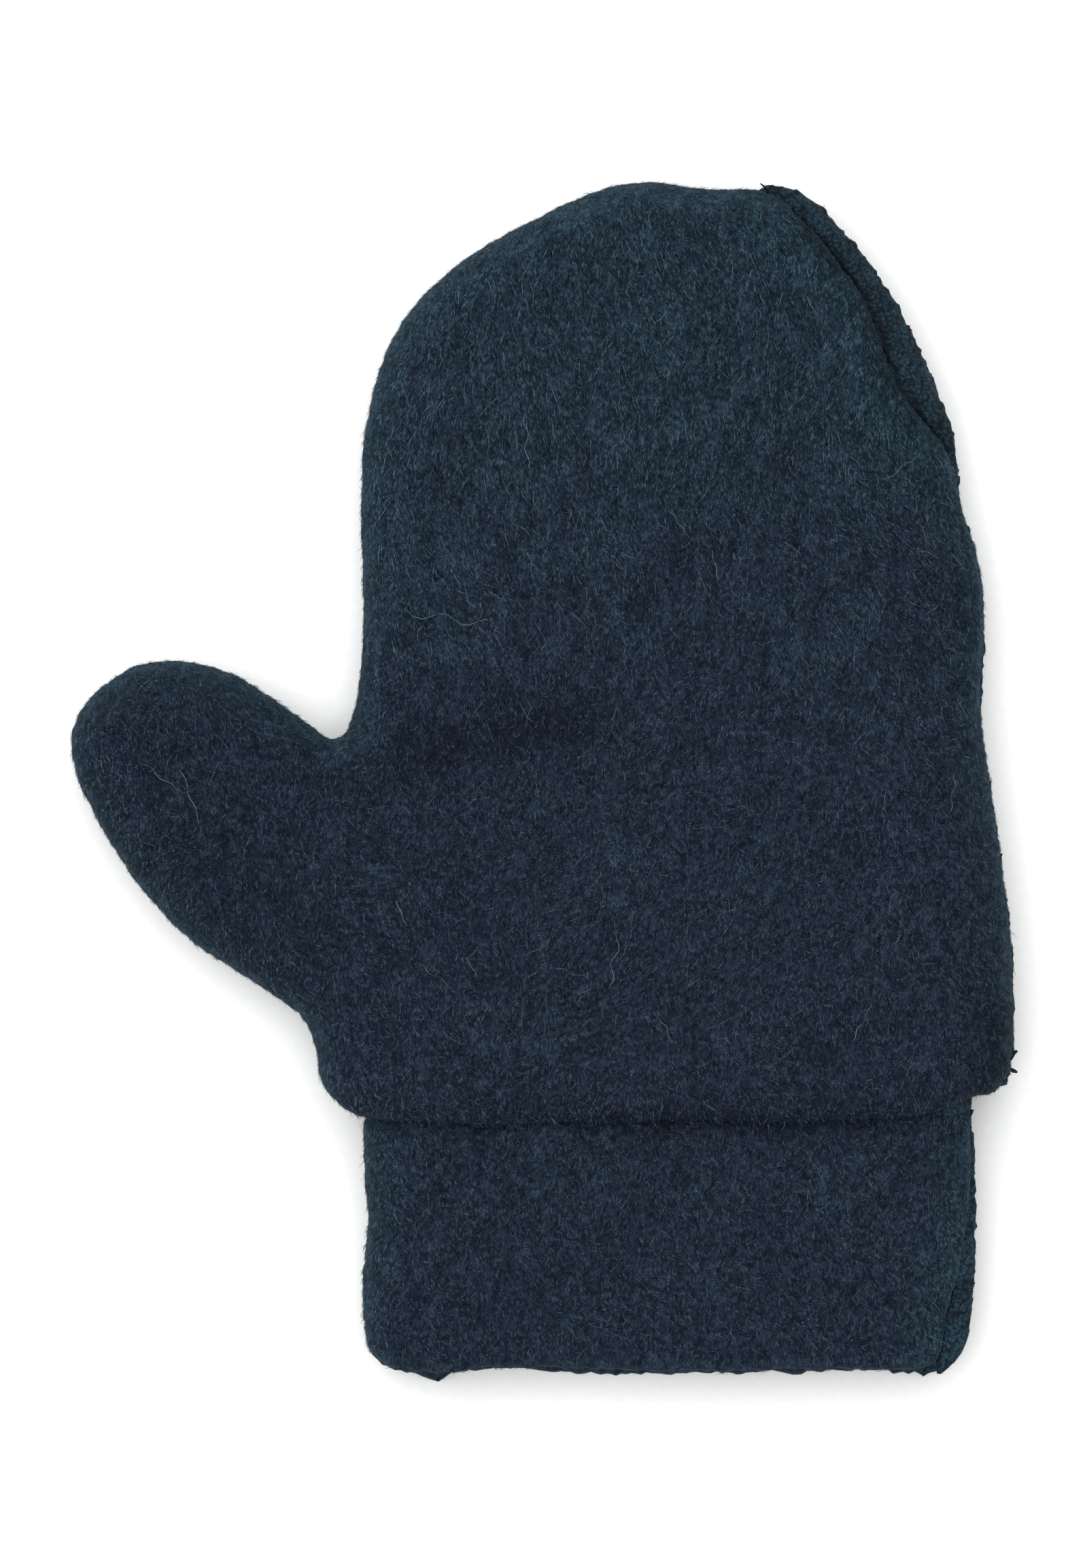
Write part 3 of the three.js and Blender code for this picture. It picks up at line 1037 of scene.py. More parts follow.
@dataclass
class Nap:
    """Brushed-up fibres over a stretch of cloth, as real strands."""

    name: str
    density: float = 6.0e6  # strands on a square metre
    seed: int = 1
    length: float = 2.3 * MM
    width: float = 0.09 * MM
    rise: float = 0.34 * MM
    kinds: int = 8
    bent: bool = True  # a straight strand has fewer faces, and serves where it is short or seldom seen
    pitch: float = math.radians(8)
    stray: float = math.radians(30)
    floor: float = 0.01 * MM
    trimmed: float = 0.4  # of a strand's length on the cloth's rolled sides
    overhang: float = 0.35  # of a strand's length where it would reach past the cloth's edge
    hangs: PlaceShare | None = None
    shade_range: tuple[float, float] = (0.0, 1.0)
    # A strand's least and greatest share of its length, width and height
    sizes: tuple[tuple[float, float, float], ...] = ((0.5, 0.6, 0.5), (1.4, 1.2, 1.5))
    spread: float = 0.9  # how far the kinds bend apart
    hook: float = 0.35  # how far a tip turns aside at most
    side: float = 0.2  # the normal's rise, under which a face is a rolled side
    most: int = 18500  # strands in one piece

    def fibre(self, kind: int) -> Object:
        """Make one strand, rooted at the origin and lying along X.

        Args:
            kind: Which of the bends the strand has.

        Returns:
            The strand's object, in no collection.
        """
        bend = (kind / (self.kinds - 1) - 0.5) * self.spread
        hook = math.sin(kind * 2.4) * self.hook
        start = Vector((0.0, 0.0, -self.rise / 2))
        middle = Vector((0.5 * self.length, 0.25 * bend * self.length, self.rise))
        tip = Vector(((1.0 - abs(hook) / 3) * self.length, (bend + hook) * self.length / 2, 0.6 * self.rise))
        points, radii = [start, tip], [self.width / 2, self.width / 90]
        if self.bent:
            points, radii = [start, middle, tip], [self.width / 2, self.width / 2.2, self.width / 90]
        work = bmesh.new()
        sweep(work, points, radii, 3)
        bmesh.ops.remove_doubles(work, verts=work.verts, dist=0.004 * MM)
        bmesh.ops.recalc_face_normals(work, faces=work.faces)
        name = f"{self.name}_fibre_{kind}"
        return bpy.data.objects.new(name, made_mesh(name, work))

    def grow(self, panel: ClothPanel, keeps: PointTest, material: Material) -> None:
        """Grow the strands on a panel, in as many pieces as their number needs.

        Args:
            panel: The panel, which gets the pieces.
            keeps: Gives a share of the full density, from a place on the cloth and its normal.
            material: The strands' material.
        """
        faces = panel.obj.data.polygons
        weights = [keeps(face.center, face.normal) for face in faces]
        shares = [weight * face.area for weight, face in zip(weights, faces)]
        ways = [nap_flow(face.center) for face in faces]
        flows = [part for way in ways for part in way]
        tree = ray_tree(panel.obj)
        trims = [self.trim(tree, face, way) for face, way in zip(faces, ways)]
        total = sum(shares)
        pieces = math.ceil(total * self.density / self.most)
        band = [0] * len(shares)
        passed = 0.0
        for index in sorted(range(len(shares)), key=lambda index: faces[index].center.y):
            band[index] = min(pieces - 1, int(passed / total * pieces))
            passed += shares[index]
        for piece in range(pieces):
            name = f"{self.name}_{piece + 1}" if pieces > 1 else self.name
            base = new_object(name, panel.obj.data.copy())
            here = [weight * self.density * (at == piece) for weight, at in zip(weights, band)]
            for label, values in (("density", here), ("trim", trims)):
                base.data.attributes.new(label, "FLOAT", "FACE").data.foreach_set("value", values)
            base.data.attributes.new("flow", "FLOAT_VECTOR", "FACE").data.foreach_set("vector", flows)
            self.plant(base, self.seed + 10 * piece, material)
            dress(base, panel.body, panel.slot)
            panel.naps.append(base)

    def trim(self, tree: BVHTree, face: MeshPolygon, way: Vector) -> float:
        """Give the share of its length that a strand keeps.

        Args:
            tree: The cloth.
            face: Where the strand stands.
            way: The way that it lies.

        Returns:
            The share, which is small where the strand would reach past an edge or stands on a rolled side.
        """
        share = self.trimmed + (1 - self.trimmed) * ease(abs(face.normal.z), self.side, 0.9)
        if abs(face.normal.z) < self.side or self.hangs and self.hangs(face.center):
            return share
        for turn in (-self.stray, 0.0, self.stray):
            reach = Matrix.Rotation(turn, 3, "Z") @ way * self.length
            if tree.ray_cast(face.center + face.normal * MM + reach, -face.normal, 3 * MM)[0] is None:
                return share * self.overhang
        return share

    def plant(self, base: Object, seed: int, material: Material) -> None:
        """Turn a copy of the cloth into the strands that stand on it.

        Args:
            base: The copy, with its density, flow and trim.
            seed: What the scatter starts from.
            material: The strands' material.
        """
        strands = bpy.data.collections.new(f"{base.name}_strands")
        for kind in range(self.kinds):
            strands.objects.link(self.fibre(kind))
        growth = base.modifiers.new("nap", "NODES")
        group = growth.node_group = self.growth_tree(strands, seed, material)
        baked(base)
        bpy.data.node_groups.remove(group)
        for strand in list(strands.objects):
            bpy.data.meshes.remove(strand.data)
        bpy.data.collections.remove(strands)

    def growth_tree(self, strands: Collection, seed: int, material: Material) -> NodeTree:
        """Build the nodes that scatter the strands, because bmesh has no operator that does.

        Args:
            strands: The kinds of strand.
            seed: What the scatter starts from.
            material: The strands' material.

        Returns:
            The node group.
        """
        tree = bpy.data.node_groups.new("growth", "GeometryNodeTree")
        tree.interface.new_socket("Cloth", in_out="INPUT", socket_type="NodeSocketGeometry")
        tree.interface.new_socket("Nap", in_out="OUTPUT", socket_type="NodeSocketGeometry")
        add, shape, value = (
            functools.partial(add_node, tree, family) for family in ("ShaderNode", "GeometryNode", "FunctionNode")
        )
        density, trim, dim, flow = (
            shape("InputNamedAttribute", {"Name": name}, data_type=kind)
            for name, kind in (("density", "FLOAT"), ("trim", "FLOAT"), ("dim", "FLOAT"), ("flow", "FLOAT_VECTOR"))
        )
        # Points on the cloth, and how a strand stands there: upright, laid along the flow, then turned a little
        cloth = add_node(tree, "", "NodeGroupInput")
        roots = shape("DistributePointsOnFaces", {"Mesh": cloth, "Density": density, "Seed": seed})
        upright = value("AlignRotationToVector", {"Vector": roots.outputs["Normal"]}, axis="Z")
        aim = {"Rotation": upright, "Vector": flow}
        laid = value("AlignRotationToVector", aim, axis="X", pivot_axis="Z")
        most = Vector((self.pitch, self.pitch, self.stray))
        turn = value("RandomValue", {0: -most, 1: most, 8: seed + 1}, data_type="FLOAT_VECTOR")
        final = value("RotateRotation", {0: laid, 1: value("EulerToRotation", {0: turn})}, rotation_space="LOCAL")
        least, most = self.sizes
        size = value("RandomValue", {0: least, 1: most, 8: seed + 2}, data_type="FLOAT_VECTOR")
        scale = add("VectorMath", {0: size, "Scale": trim}, operation="SCALE")
        kinds = shape("CollectionInfo", {0: strands, 1: True, 2: True})
        stand = {"Points": roots, "Instance": kinds, "Pick Instance": True, "Rotation": final, "Scale": scale}
        nap = shape("InstanceOnPoints", stand)
        # Each strand's own shade, which the cloth's dimness lowers, with painted shade in an open seam and along
        # the hem's crease
        low, high = self.shade_range
        own = value("RandomValue", {2: low, 3: high, 8: seed + 3}, data_type="FLOAT").outputs[1]
        shade = add("Math", {0: own, 1: dim}, operation="SUBTRACT")
        stored = {"Geometry": nap, "Name": "shade", "Value": shade}
        nap = shape("StoreNamedAttribute", stored, data_type="FLOAT", domain="INSTANCE")
        nap = shape("RealizeInstances", {0: nap})
        for name in ("density", "flow", "trim", "dim"):
            nap = shape("RemoveAttribute", {"Geometry": nap, "Name": name})
        # No strand goes into the table
        place = add("SeparateXYZ", {0: shape("InputPosition")})
        height = add("Math", {0: place.outputs[2], 1: self.floor}, operation="MAXIMUM")
        lifted = add("CombineXYZ", {0: place.outputs[0], 1: place.outputs[1], 2: height})
        nap = shape("SetPosition", {"Geometry": nap, "Position": lifted})
        nap = shape("SetMaterial", {"Geometry": nap, "Material": material})
        add_node(tree, "", "NodeGroupOutput", {0: nap})
        return tree


def pills(name: str, shade_range: tuple[float, float], seed: int) -> Nap:
    """Set up the pilled fibre of a cut edge: short straight strands that point every way."""
    return Nap(
        name, density=8e6, length=0.7 * MM, rise=0.3 * MM, stray=math.pi, pitch=math.radians(30), bent=False,
        shade_range=shade_range, seed=seed,
    )


@dataclass
class OverlockSeam:
    """A seam that an overlock machine sewed: bound cut edges with loops of thread over them."""

    node: str
    body: Body = Body.WRISTLET
    voxel: float = 0.42 * MM
    relaxing: int = 3
    settle: float = 0.35 * MM
    lump: float = 0.9 * MM
    uneven: float = 0.1 * MM
    floor: float = 0.03 * MM
    loop_radius: float = 0.42 * MM
    loop_steps: int = 9
    thread: float = 0.22 * MM
    thread_sides: int = 5
    slant: float = math.radians(16)

    def build(self, finishes: Finishes, lie: PointMove | None = None) -> None:
        """Make the seam's bound edges with the loops on them.

        Args:
            finishes: The shared materials.
            lie: Moves a point of the seam to where it lies, if it isn't where its solid is.
        """
        work = even_copy(self.node, self.voxel, self.relaxing)
        for vert in work.verts:
            vert.co += vert.normal * (noise.noise(vert.co / self.lump) * self.uneven - self.settle)
        places = seam_line(self.node)[1::2]
        loop = self.loop()
        for index, (before, here, after) in enumerate(zip(places, places[1:], places[2:])):
            turn = UP.rotation_difference((after - before).normalized()).to_matrix().to_4x4()
            lean = Matrix.Rotation(self.slant if index % 2 else -self.slant, 4, "X")
            old = len(work.verts)
            work.from_mesh(loop)
            work.verts.ensure_lookup_table()
            bmesh.ops.transform(work, verts=work.verts[old:], matrix=Matrix.Translation(here) @ turn @ lean)
        bpy.data.meshes.remove(loop)
        for vert in work.verts:
            if lie:
                vert.co = lie(vert.co)
            vert.co.z = max(vert.co.z, self.floor)
        name = self.node.removeprefix("hood_").replace("seam", "stitches")
        made = closed_object(name, work, finishes.thread)
        dress(made, self.body, Slot.THREAD)
        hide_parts(self.node)

    def loop(self) -> Mesh:
        """Make one loop of thread round the Z axis.

        Returns:
            The loop's mesh.
        """
        work = bmesh.new()
        section = bmesh.ops.create_circle(work, segments=self.thread_sides, radius=self.thread / 2)["verts"]
        bmesh.ops.rotate(work, verts=section, matrix=Matrix.Rotation(math.pi / 2, 3, "X"))
        bmesh.ops.translate(work, verts=section, vec=(self.loop_radius, 0.0, 0.0))
        bmesh.ops.spin(
            work, geom=work.verts[:] + work.edges[:], cent=(0, 0, 0), axis=UP, angle=2 * math.pi,
            steps=self.loop_steps, use_merge=True,
        )
        bmesh.ops.recalc_face_normals(work, faces=work.faces)
        return made_mesh("loop", work)


@dataclass
class Studio:
    """White paper, soft light from all sides and a camera straight above, as in the photograph."""

    paper_size: float = 3.0
    camera_height: float = 1.6
    sensor: float = 24.0
    light_place: tuple[float, float, float] = (-0.2, 0.3, 1.2)
    light_size: float = 1.7
    light_watts: float = 20.0
    sky: float = 0.78
    sky_shade: str = "#FFFFFF"

    def build(self) -> None:
        """Make the paper, the lights and the camera."""
        work = bmesh.new()
        bmesh.ops.create_grid(work, x_segments=2, y_segments=2, size=self.paper_size / 2)
        paper = new_object("paper", made_mesh("paper", work))
        paper.data.materials.append(StudioPaper().material())
        paper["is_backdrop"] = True
        world = bpy.data.worlds.new("studio")
        world.use_nodes = True
        world.node_tree.nodes["Background"].inputs["Color"].default_value = linear(self.sky_shade)
        world.node_tree.nodes["Background"].inputs["Strength"].default_value = self.sky
        bpy.context.scene.world = world
        bpy.context.scene.view_settings.view_transform = "Standard"
        lamp = bpy.data.lights.new("softbox", "AREA")
        lamp.energy = self.light_watts
        lamp.size = self.light_size
        light = new_object("softbox", lamp)
        light.location = self.light_place
        light.rotation_euler = (-light.location).to_track_quat("-Z", "Y").to_euler()
        self.place_camera()

    def place_camera(self) -> None:
        """Hang the camera over the middle of the photograph's frame."""
        middle = from_photo(PHOTO_PX[0] / 2, PHOTO_PX[1] / 2)
        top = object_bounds()[1][2]
        view = bpy.data.cameras.new("camera")
        view.sensor_fit = "VERTICAL"
        view.sensor_height = self.sensor
        view.lens = self.sensor * (self.camera_height - top / 2) / (PHOTO_PX[1] * MM_PER_PX * MM)
        bpy.context.scene.camera = new_object("camera", view)
        bpy.context.scene.camera.location = (middle.x, middle.y, self.camera_height)


@dataclass
class Part:
    """A part of the mitten, made of the shared materials."""

    finishes: Finishes


@dataclass
class Hood(Part):
    """The outer mitten: two panels round the fingers and the thumb, joined by an overlocked seam."""

    flat: tuple[float, float] = (0.143, 0.139)
    flat_area: float = 0.0136
    seam: str = "hood_edge_seam"
    hem_roll: float = 5 * MM
    hem_drop: float = 1.3 * MM
    corner_reach: float = 14 * MM
    bulge: float = 0.4 * MM
    bulge_reach: float = 12 * MM
    upper_layer: float = 10 * MM
    groove_end_px: float = 700
    groove_fade: float = 6 * MM
    # The heights over which the open seam and the crescent are seen on the back
    groove_low: float = 4.5 * MM
    crescent_low: float = 5.2 * MM
    # Where the nap may hang over the hem: how far up from the wrist, and between which columns
    hanging: float = 6 * MM
    hanging_px: tuple[float, float] = (560, 1400)
    # Places in the photograph where the edge stands out, with how far they reach and go, in mm
    tugs: tuple[tuple[tuple[float, float], float, tuple[float, float]], ...] = (
        ((1180, 288), 7.0, (0.3, 0.8)), ((1450, 920), 10.0, (0.7, 0.0)), ((1485, 1420), 14.0, (0.35, 0.0)),
        ((1216, 315), 5.0, (-0.2, -0.2)), ((1452, 1060), 6.0, (-0.3, 0.0)), ((1450, 1190), 14.0, (0.25, 0.0)),
        ((108, 1130), 8.0, (-0.55, 0.0)), ((130, 1030), 8.0, (-0.15, 0.15)), ((330, 985), 9.0, (0.05, 0.25)),
        ((504, 1082), 3.0, (-0.1, -0.75)), ((450, 1055), 4.0, (0.1, 0.25)), ((1488, 1590), 3.0, (-0.35, 0.4)),
        ((383, 1441), 12.0, (0.05, 0.15)), ((556, 529), 12.0, (0.15, -0.05)), ((840, 300), 8.0, (0.05, -0.25)),
    )
    pulls: list[tuple[Vector, float, Vector]] = field(default_factory=list)

    def __post_init__(self) -> None:
        """Turn the tugs into places, squared reaches and moves."""
        for place, reach, way in self.tugs:
            self.pulls.append((from_photo(*place), (reach * MM) ** 2, Vector((*way, 0.0)) * MM))

    def build(self) -> None:
        """Make the panels, their nap and their seam."""
        cut = {
            "body": Body.HOOD, "slot": Slot.OUTER, "flat": self.flat, "flat_area": self.flat_area,
            "seams": (self.seam,), "groove": self.groove, "lie": self.lie,
        }
        settled = SettledSheet("hood_back_panel")
        settled.settle()
        back = ClothPanel("back_cloth", "hood_back_panel", settled=settled, **cut)
        palm = ClothPanel("palm_cloth", "hood_palm_panel", pilled=self.crescent, **cut)
        back.build()
        palm.build()
        hollow = Hollow(back.obj, palm.obj)
        wisps = Nap(
            "back_wisps", density=0.3e6, length=4.2 * MM, width=0.11 * MM, rise=0.45 * MM, stray=math.radians(16),
            shade_range=(0.7, 1.25), hangs=self.over_cuff, seed=91,
        )
        palm_nap = Nap("palm_nap", 1.8e6, width=0.16 * MM, length=2.4 * MM, trimmed=0.25, bent=False, seed=101)
        for nap, panel, keeps in (
            (Nap("back_nap", hangs=self.over_cuff), back, hollow.open_to), (wisps, back, self.wispy(hollow)),
            (palm_nap, palm, hollow.brushed(self.crescent)),
            (pills("crescent_pills", (-0.35, 1.05), 151), palm, self.crescent),
        ):
            nap.grow(panel, keeps, self.finishes.fibre)
        back.finish(self.finishes, hollow)
        palm.finish(self.finishes, hollow)
        OverlockSeam(self.seam, Body.HOOD).build(self.finishes, self.lie)

    def lie(self, point: Vector) -> Vector:
        """Move a point of either panel to where the cloth lies.

        Its edge stands out here and there, its hem follows its own line, and the upper layer's hem
        drops over the wrist seam, under a slight bulge.

        Args:
            point: The point.

        Returns:
            The new point.
        """
        move = Vector()
        for place, reach, way in self.pulls:
            away = (place - point).xy.length_squared / reach
            if away < 5:
                move += way * math.exp(-away)
        up = point.y - WRIST_Y
        if up < self.corner_reach:
            move.y += HEM.rise(point) * (1 - ease(up, 0.0, self.corner_reach))
        if point.z > self.upper_layer and up < self.bulge_reach:
            hem = 1 - ease(up, 0.0, self.hem_roll)
            bulge = math.sin(math.pi * min(1.0, max(0.0, up / self.bulge_reach)))
            move.z += self.bulge * bulge - self.hem_drop * hem * hem
        return point + move

    def wispy(self, hollow: Hollow) -> PointTest:
        """Give the test for where single long fibres stand out: on the flat of the cloth, more near the tips."""
        return lambda place, normal: hollow.open_to(place, normal) * ease(normal.z, 0.5, 0.9) * (
            0.25 + 0.75 * ease(place.y, 0.0, 50 * MM)
        )

    def over_cuff(self, place: Vector) -> float:
        """Say whether the nap at a place may hang over the hem, onto the cuff."""
        low, high = self.hanging_px
        return float(place.y < WRIST_Y + self.hanging and low < to_photo(place)[0] < high)

    def groove(self, place: Vector) -> float:
        """Say how far the seam lies open at a place: on the back it does, beside the crescent."""
        low = from_photo(0, self.groove_end_px).y
        return float(place.x > 0 and place.z > self.groove_low) * ease(place.y, low, low + self.groove_fade)

    def crescent(self, place: Vector, normal: Vector) -> float:
        """Say how much of the palm panel's pilled edge shows on the mitten's back at a place, as a crescent."""
        return ease(normal.z, 0.05, 0.3) * float(place.x > 0 and place.z > self.crescent_low)


@dataclass
class Cuff(Part):
    """The sleeve's outer end, two panels that climb from the table to the wrist."""

    flat: tuple[float, float] = (0.092, 0.0345)
    seams: tuple[str, ...] = ("cuff_pinky_seam", "cuff_thumb_seam")
    mouth_y: float = -84.5 * MM
    length: float = 35 * MM
    half_width: float = 43.4 * MM
    corner_reach: float = 16 * MM
    tuck: float = 1.7 * MM
    tuck_drop: float = 0.4 * MM
    tuck_reach: float = 4 * MM
    ragged: float = 0.35 * MM
    ragged_size: float = 1.3 * MM
    ragged_reach: float = 2 * MM
    upper_layer: float = 8 * MM
    strip_from: float = 50 * MM
    # Columns and rows of the photograph's pixels: where each layer's mouth runs
    palm_mouth: Line = (
        (531, 1925), (536, 1947), (548, 1991), (565, 2003), (582, 2014), (632, 2025), (648, 2034), (667, 2018),
        (726, 2013), (770, 2013), (820, 2019), (895, 2020), (982, 2022), (1039, 2018), (1098, 2021), (1135, 2016),
        (1169, 2022), (1194, 2018), (1235, 2015), (1341, 2015), (1375, 2015), (1395, 2005), (1410, 1989),
        (1422, 1968), (1430, 1938), (1436, 1920),
    )
    back_mouth: Line = (
        (531, 1925), (536, 1945), (550, 1985), (582, 2006), (648, 2016), (720, 2005), (1000, 2012), (1250, 2008),
        (1340, 2010), (1360, 2006), (1375, 1996), (1384, 1980), (1392, 1950),
    )
    # Rows of the photograph's pixels, and how many pixels the side edges stand out to the right there
    thumb_side: Line = ((1650, -3), (1700, -1), (1760, 3), (1795, 5), (1835, 0), (1880, -6), (1930, -9))
    pinky_side: Line = ((1640, -3), (1700, 1), (1760, 3), (1900, 4), (1950, 3))

    def build(self) -> None:
        """Make the panels, their nap and their seams."""
        cut = {"body": Body.WRISTLET, "slot": Slot.OUTER, "flat": self.flat, "seams": self.seams}
        lie_back, lie_palm = (functools.partial(self.lie, mouth=run) for run in (self.back_mouth, self.palm_mouth))
        back = ClothPanel("cuff_back_cloth", "cuff_back_panel", lie=lie_back, **cut)
        palm = ClothPanel("cuff_palm_cloth", "cuff_palm_panel", lie=lie_palm, pilled=self.strip, **cut)
        back.build()
        palm.build()
        hollow = Hollow(back.obj, palm.obj)
        palm_nap = Nap("cuff_palm_nap", 1.8e6, width=0.15 * MM, trimmed=0.25, bent=False, seed=251)
        for nap, panel, keeps in (
            (Nap("cuff_back_nap", seed=201), back, hollow.open_to), (palm_nap, palm, hollow.brushed(self.strip)),
            (pills("cuff_pills", (-0.25, 1.1), 271), palm, self.strip),
        ):
            nap.grow(panel, keeps, self.finishes.fibre)
        back.finish(self.finishes, hollow)
        palm.finish(self.finishes, hollow)
        for node in self.seams:
            OverlockSeam(node).build(self.finishes, lie_back)

    def lie(self, point: Vector, mouth: Line) -> Vector:
        """Move a point of the cuff: its sides and its ragged mouth are uneven, and it starts under the hem.

        Args:
            point: The point.
            mouth: Where this layer's mouth runs in the photograph.

        Returns:
            The new point.
        """
        across, down = to_photo(point)
        up = point.y - self.mouth_y
        near = 1 - ease(up, 0.0, self.corner_reach)
        flat = Vector((point.x, 0.0, point.z * 0.5))
        rough = noise.noise(flat / self.ragged_size) * self.ragged * (1 - ease(up, 0.0, self.ragged_reach))
        side = (point.x - WRIST_X) / self.half_width
        out = read_line(self.thumb_side if side < 0 else self.pinky_side, down) * ease(abs(side), 0.6, 1.0)
        longer = (read_line(mouth, across) - to_photo(Vector((0.0, self.mouth_y)))[1]) * MM_PER_PX * MM
        top = 1 - ease(self.length - up, 0.0, self.tuck_reach)
        along = rough - longer * near + (self.tuck + HEM.rise(point)) * top
        lower = self.tuck_drop * top if point.z > self.upper_layer else 0.0
        return point + Vector((out * MM_PER_PX * MM, along, -lower))

    def strip(self, place: Vector, normal: Vector) -> float:
        """Say how much of the palm's cut edge shows at a place, along the little finger's side."""
        return ease(normal.z, 0.0, 0.25) * float(place.x > self.strip_from)


@dataclass
class Mitt(Part):
    """The sleeve's inner end: a fingerless mitt of the same cloth, with its granular face out."""

    flat: tuple[float, float] = (0.091, 0.061)
    seams: tuple[str, ...] = ("mitt_pinky_seam", "mitt_thumb_seam_lower", "mitt_thumb_seam_upper")
    voxel: float = 1.0 * MM
    coarseness: float = 0.55

    def build(self) -> None:
        """Make the panels, their short fuzz and their seams."""
        back, palm = (
            ClothPanel(
                f"mitt_{side}_cloth", f"mitt_{side}_panel", Body.WRISTLET, Slot.INNER, self.flat, self.seams,
                pilled=self.everywhere, voxel=self.voxel,
            )
            for side in ("back", "palm")
        )
        back.build()
        palm.build()
        hollow = Hollow(back.obj, palm.obj)
        for seed, panel in ((301, back), (351, palm)):
            name = panel.name.replace("cloth", "fuzz")
            fuzz = Nap(name, 2.0e6, length=1.1 * MM, rise=0.25 * MM, stray=math.pi, bent=False, seed=seed)
            fuzz.grow(panel, hollow.open_to, self.finishes.fibre)
            panel.finish(self.finishes, hollow)
        for node in self.seams:
            OverlockSeam(node).build(self.finishes)

    def everywhere(self, place: Vector, normal: Vector) -> float:
        """Say that the whole mitt shows its granular face, about half as coarse as a cut edge."""
        return self.coarseness


@dataclass
class Wrist(Part):
    """The seam that carries the hood, the fold of cloth where the hood turns back, made in one fixed pose, and the
    loose thread ends.
    """

    fold_half_width: float = 40.5 * MM
    fold_from: float = 0.9 * MM
    fold_to: float = 5.2 * MM
    fold_low: float = 14.7 * MM
    fold_high: float = 15.8 * MM
    fold_flat: float = 10 * MM
    fold_cloth: float = 6 * MM
    fold_cuts: tuple[int, int, int] = (47, 7, 1)
    fold_droop: float = 0.5 * MM
    fold_lump: float = 2 * MM
    fold_uneven: float = 0.15 * MM
    # From where to where the fold turns with the hood, along Y from the wrist line; the fold is made fixed and
    # nothing here turns it
    turning: tuple[float, float] = (-0.2 * MM, 3.6 * MM)
    tail_radius: float = 0.32 * MM
    tail_taper: tuple[float, ...] = (1.2, 1.0, 1.1, 0.6)
    # The thread ends that were cut long: their thickness, and their columns, rows and heights in mm
    tails: tuple[tuple[str, float, tuple[tuple[float, float, float], ...]], ...] = (
        ("hem_tail_upper", 1.0, ((1485, 1557, 9.2), (1489, 1552, 9.0), (1491, 1548, 8.8), (1496, 1546, 8.4))),
        ("hem_tail_lower", 0.9, ((1481, 1571, 9.2), (1487, 1573, 9.0), (1491, 1575, 8.7), (1496, 1577, 8.4))),
        ("tip_tail", 0.4, ((1130, 284, 10.6), (1126, 279, 10.9), (1123, 275, 11.0), (1118, 271, 10.8))),
    )

    def build(self) -> None:
        """Make the wrist seam's stitches, the fold and the thread tails."""
        for node in ("flip_seam", "palm_wrist_seam"):
            OverlockSeam(node).build(self.finishes)
        self.build_fold()
        self.build_tails()

    def build_fold(self) -> None:
        """Make the strip of cloth that folds where the hood turns back over the wrist."""
        work = bmesh.new()
        bmesh.ops.create_cube(work, size=1.0)
        size = Vector((2 * self.fold_half_width, self.fold_to - self.fold_from, self.fold_high - self.fold_low))
        middle = Vector((WRIST_X, WRIST_Y + self.fold_from + size.y / 2, self.fold_low + size.z / 2))
        bmesh.ops.scale(work, verts=work.verts, vec=size)
        bmesh.ops.translate(work, verts=work.verts, vec=middle)
        for axis, cuts in enumerate(self.fold_cuts):
            spans = ((edge, (edge.verts[0].co - edge.verts[1].co).normalized()) for edge in work.edges)
            edges = [edge for edge, way in spans if abs(way[axis]) > 0.9]
            bmesh.ops.subdivide_edges(work, edges=edges, cuts=cuts, use_grid_fill=True)
        smoothed(work, 1)
        for vert in work.verts:
            end = abs(vert.co.x - middle.x) / self.fold_half_width
            full = math.sqrt(1 - ease(end, 0.8, 1.0))
            vert.co.y = middle.y + (vert.co.y - middle.y) * (0.4 + 0.6 * full)
            droop = self.fold_droop * ease(end, 0.85, 1.0)
            vert.co.z = middle.z + (vert.co.z - middle.z) * (0.15 + 0.85 * full) - droop
            vert.co.z += noise.noise(vert.co / self.fold_lump) * self.fold_uneven
        fold = closed_object("flip_fold", work, self.finishes.granular)
        start, end = ((WRIST_X, WRIST_Y + along, self.fold_high) for along in self.turning)
        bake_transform(fold)
        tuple(start)
        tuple(end)
        LOG.info("flip_fold: %d faces", len(fold.data.polygons))

    def build_tails(self) -> None:
        """Make the ends of thread that were cut long at the hem's corner and at the fingertips."""
        for name, thickness, run in self.tails:
            work = bmesh.new()
            points = [from_photo(across, down) + UP * height * MM for across, down, height in run]
            sweep(work, points, [self.tail_radius * thickness * share for share in self.tail_taper], 6)
            dress(closed_object(name, work, self.finishes.thread), Body.HOOD, Slot.THREAD)


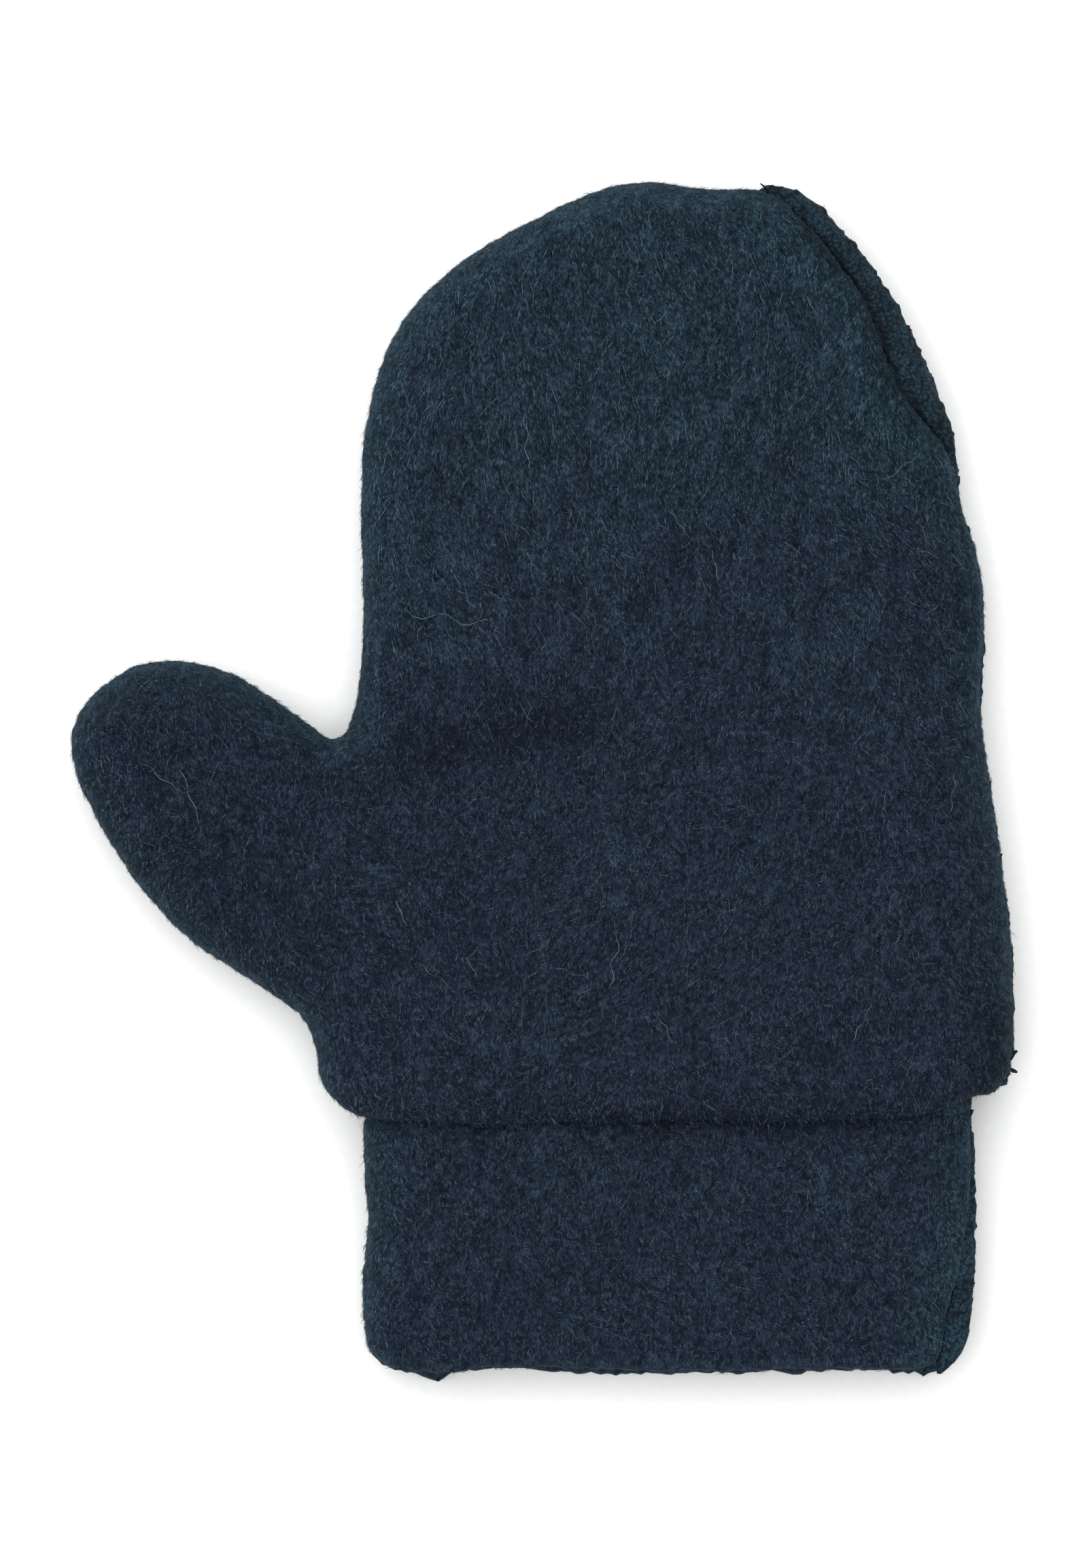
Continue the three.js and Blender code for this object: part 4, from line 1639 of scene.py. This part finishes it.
@dataclass
class LooseHairs(Part):
    """Long pale fibres that lie in waves on the nap, here and there."""

    cloth: str = "back_cloth"
    count: int = 24
    seed: int = 7
    radius: float = 0.04 * MM
    lift: float = 0.45 * MM
    stations: int = 12
    longest: float = 14.5 * MM
    longest_px: tuple[float, float] = (600, 900)
    lengths: tuple[float, float] = (4 * MM, 12 * MM)
    # The photograph's columns and rows that they start between
    columns: tuple[float, float] = (220, 1450)
    rows: tuple[float, float] = (300, 1600)

    def build(self) -> None:
        """Lay the hairs on the hood's back: the photograph's longest one, then others by chance."""
        tree = ray_tree(bpy.data.objects[self.cloth])
        chance = random.Random(self.seed)
        places = [(from_photo(*self.longest_px), self.longest, math.radians(-8))]
        while len(places) < self.count:
            start = from_photo(chance.uniform(*self.columns), chance.uniform(*self.rows))
            length = chance.uniform(*self.lengths) * chance.uniform(0.5, 1.0)
            places.append((start, length, math.radians(chance.gauss(90, 55))))
        work = bmesh.new()
        for start, length, angle in places:
            points = self.run(tree, chance, start, length, angle)
            if points:
                sweep(work, points, [self.radius] * (len(points) - 1) + [self.radius / 3], 3)
        dress(closed_object("loose_hairs", work, self.finishes.hair), Body.HOOD, Slot.OUTER)

    def run(self, tree: BVHTree, chance: random.Random, start: Vector, length: float, angle: float) -> list[Vector]:
        """Work out one hair's way over the cloth.

        Args:
            tree: The cloth.
            chance: The source of the hair's waves.
            start: Where it starts, seen from above.
            length: How long it is.
            angle: Which way it lies, from +X.

        Returns:
            Its points, or none where it would leave the cloth's flat part.
        """
        points = []
        here = start.copy()
        swing, phase = chance.uniform(0.25, 0.6), chance.uniform(0, 2 * math.pi)
        for step in range(self.stations):
            hit, normal, _, _ = tree.ray_cast(here + UP * 50 * MM, -UP)
            if hit is None or normal.z < 0.85:
                return []
            points.append(hit + UP * self.lift * chance.uniform(0.8, 1.5))
            way = angle + swing * math.sin(phase + step * 1.1)
            here = here + Vector((math.cos(way), math.sin(way), 0.0)) * length / self.stations
        return points


def main() -> None:
    """Build the studio and the mitten, part by part."""
    logging.basicConfig(level=logging.INFO, format="%(name)s: %(message)s")
    Studio().build()
    finishes = Finishes.made()
    for part in (Mitt, Wrist, Cuff, Hood, LooseHairs):
        part(finishes).build()


if __name__ == "__main__":
    main()
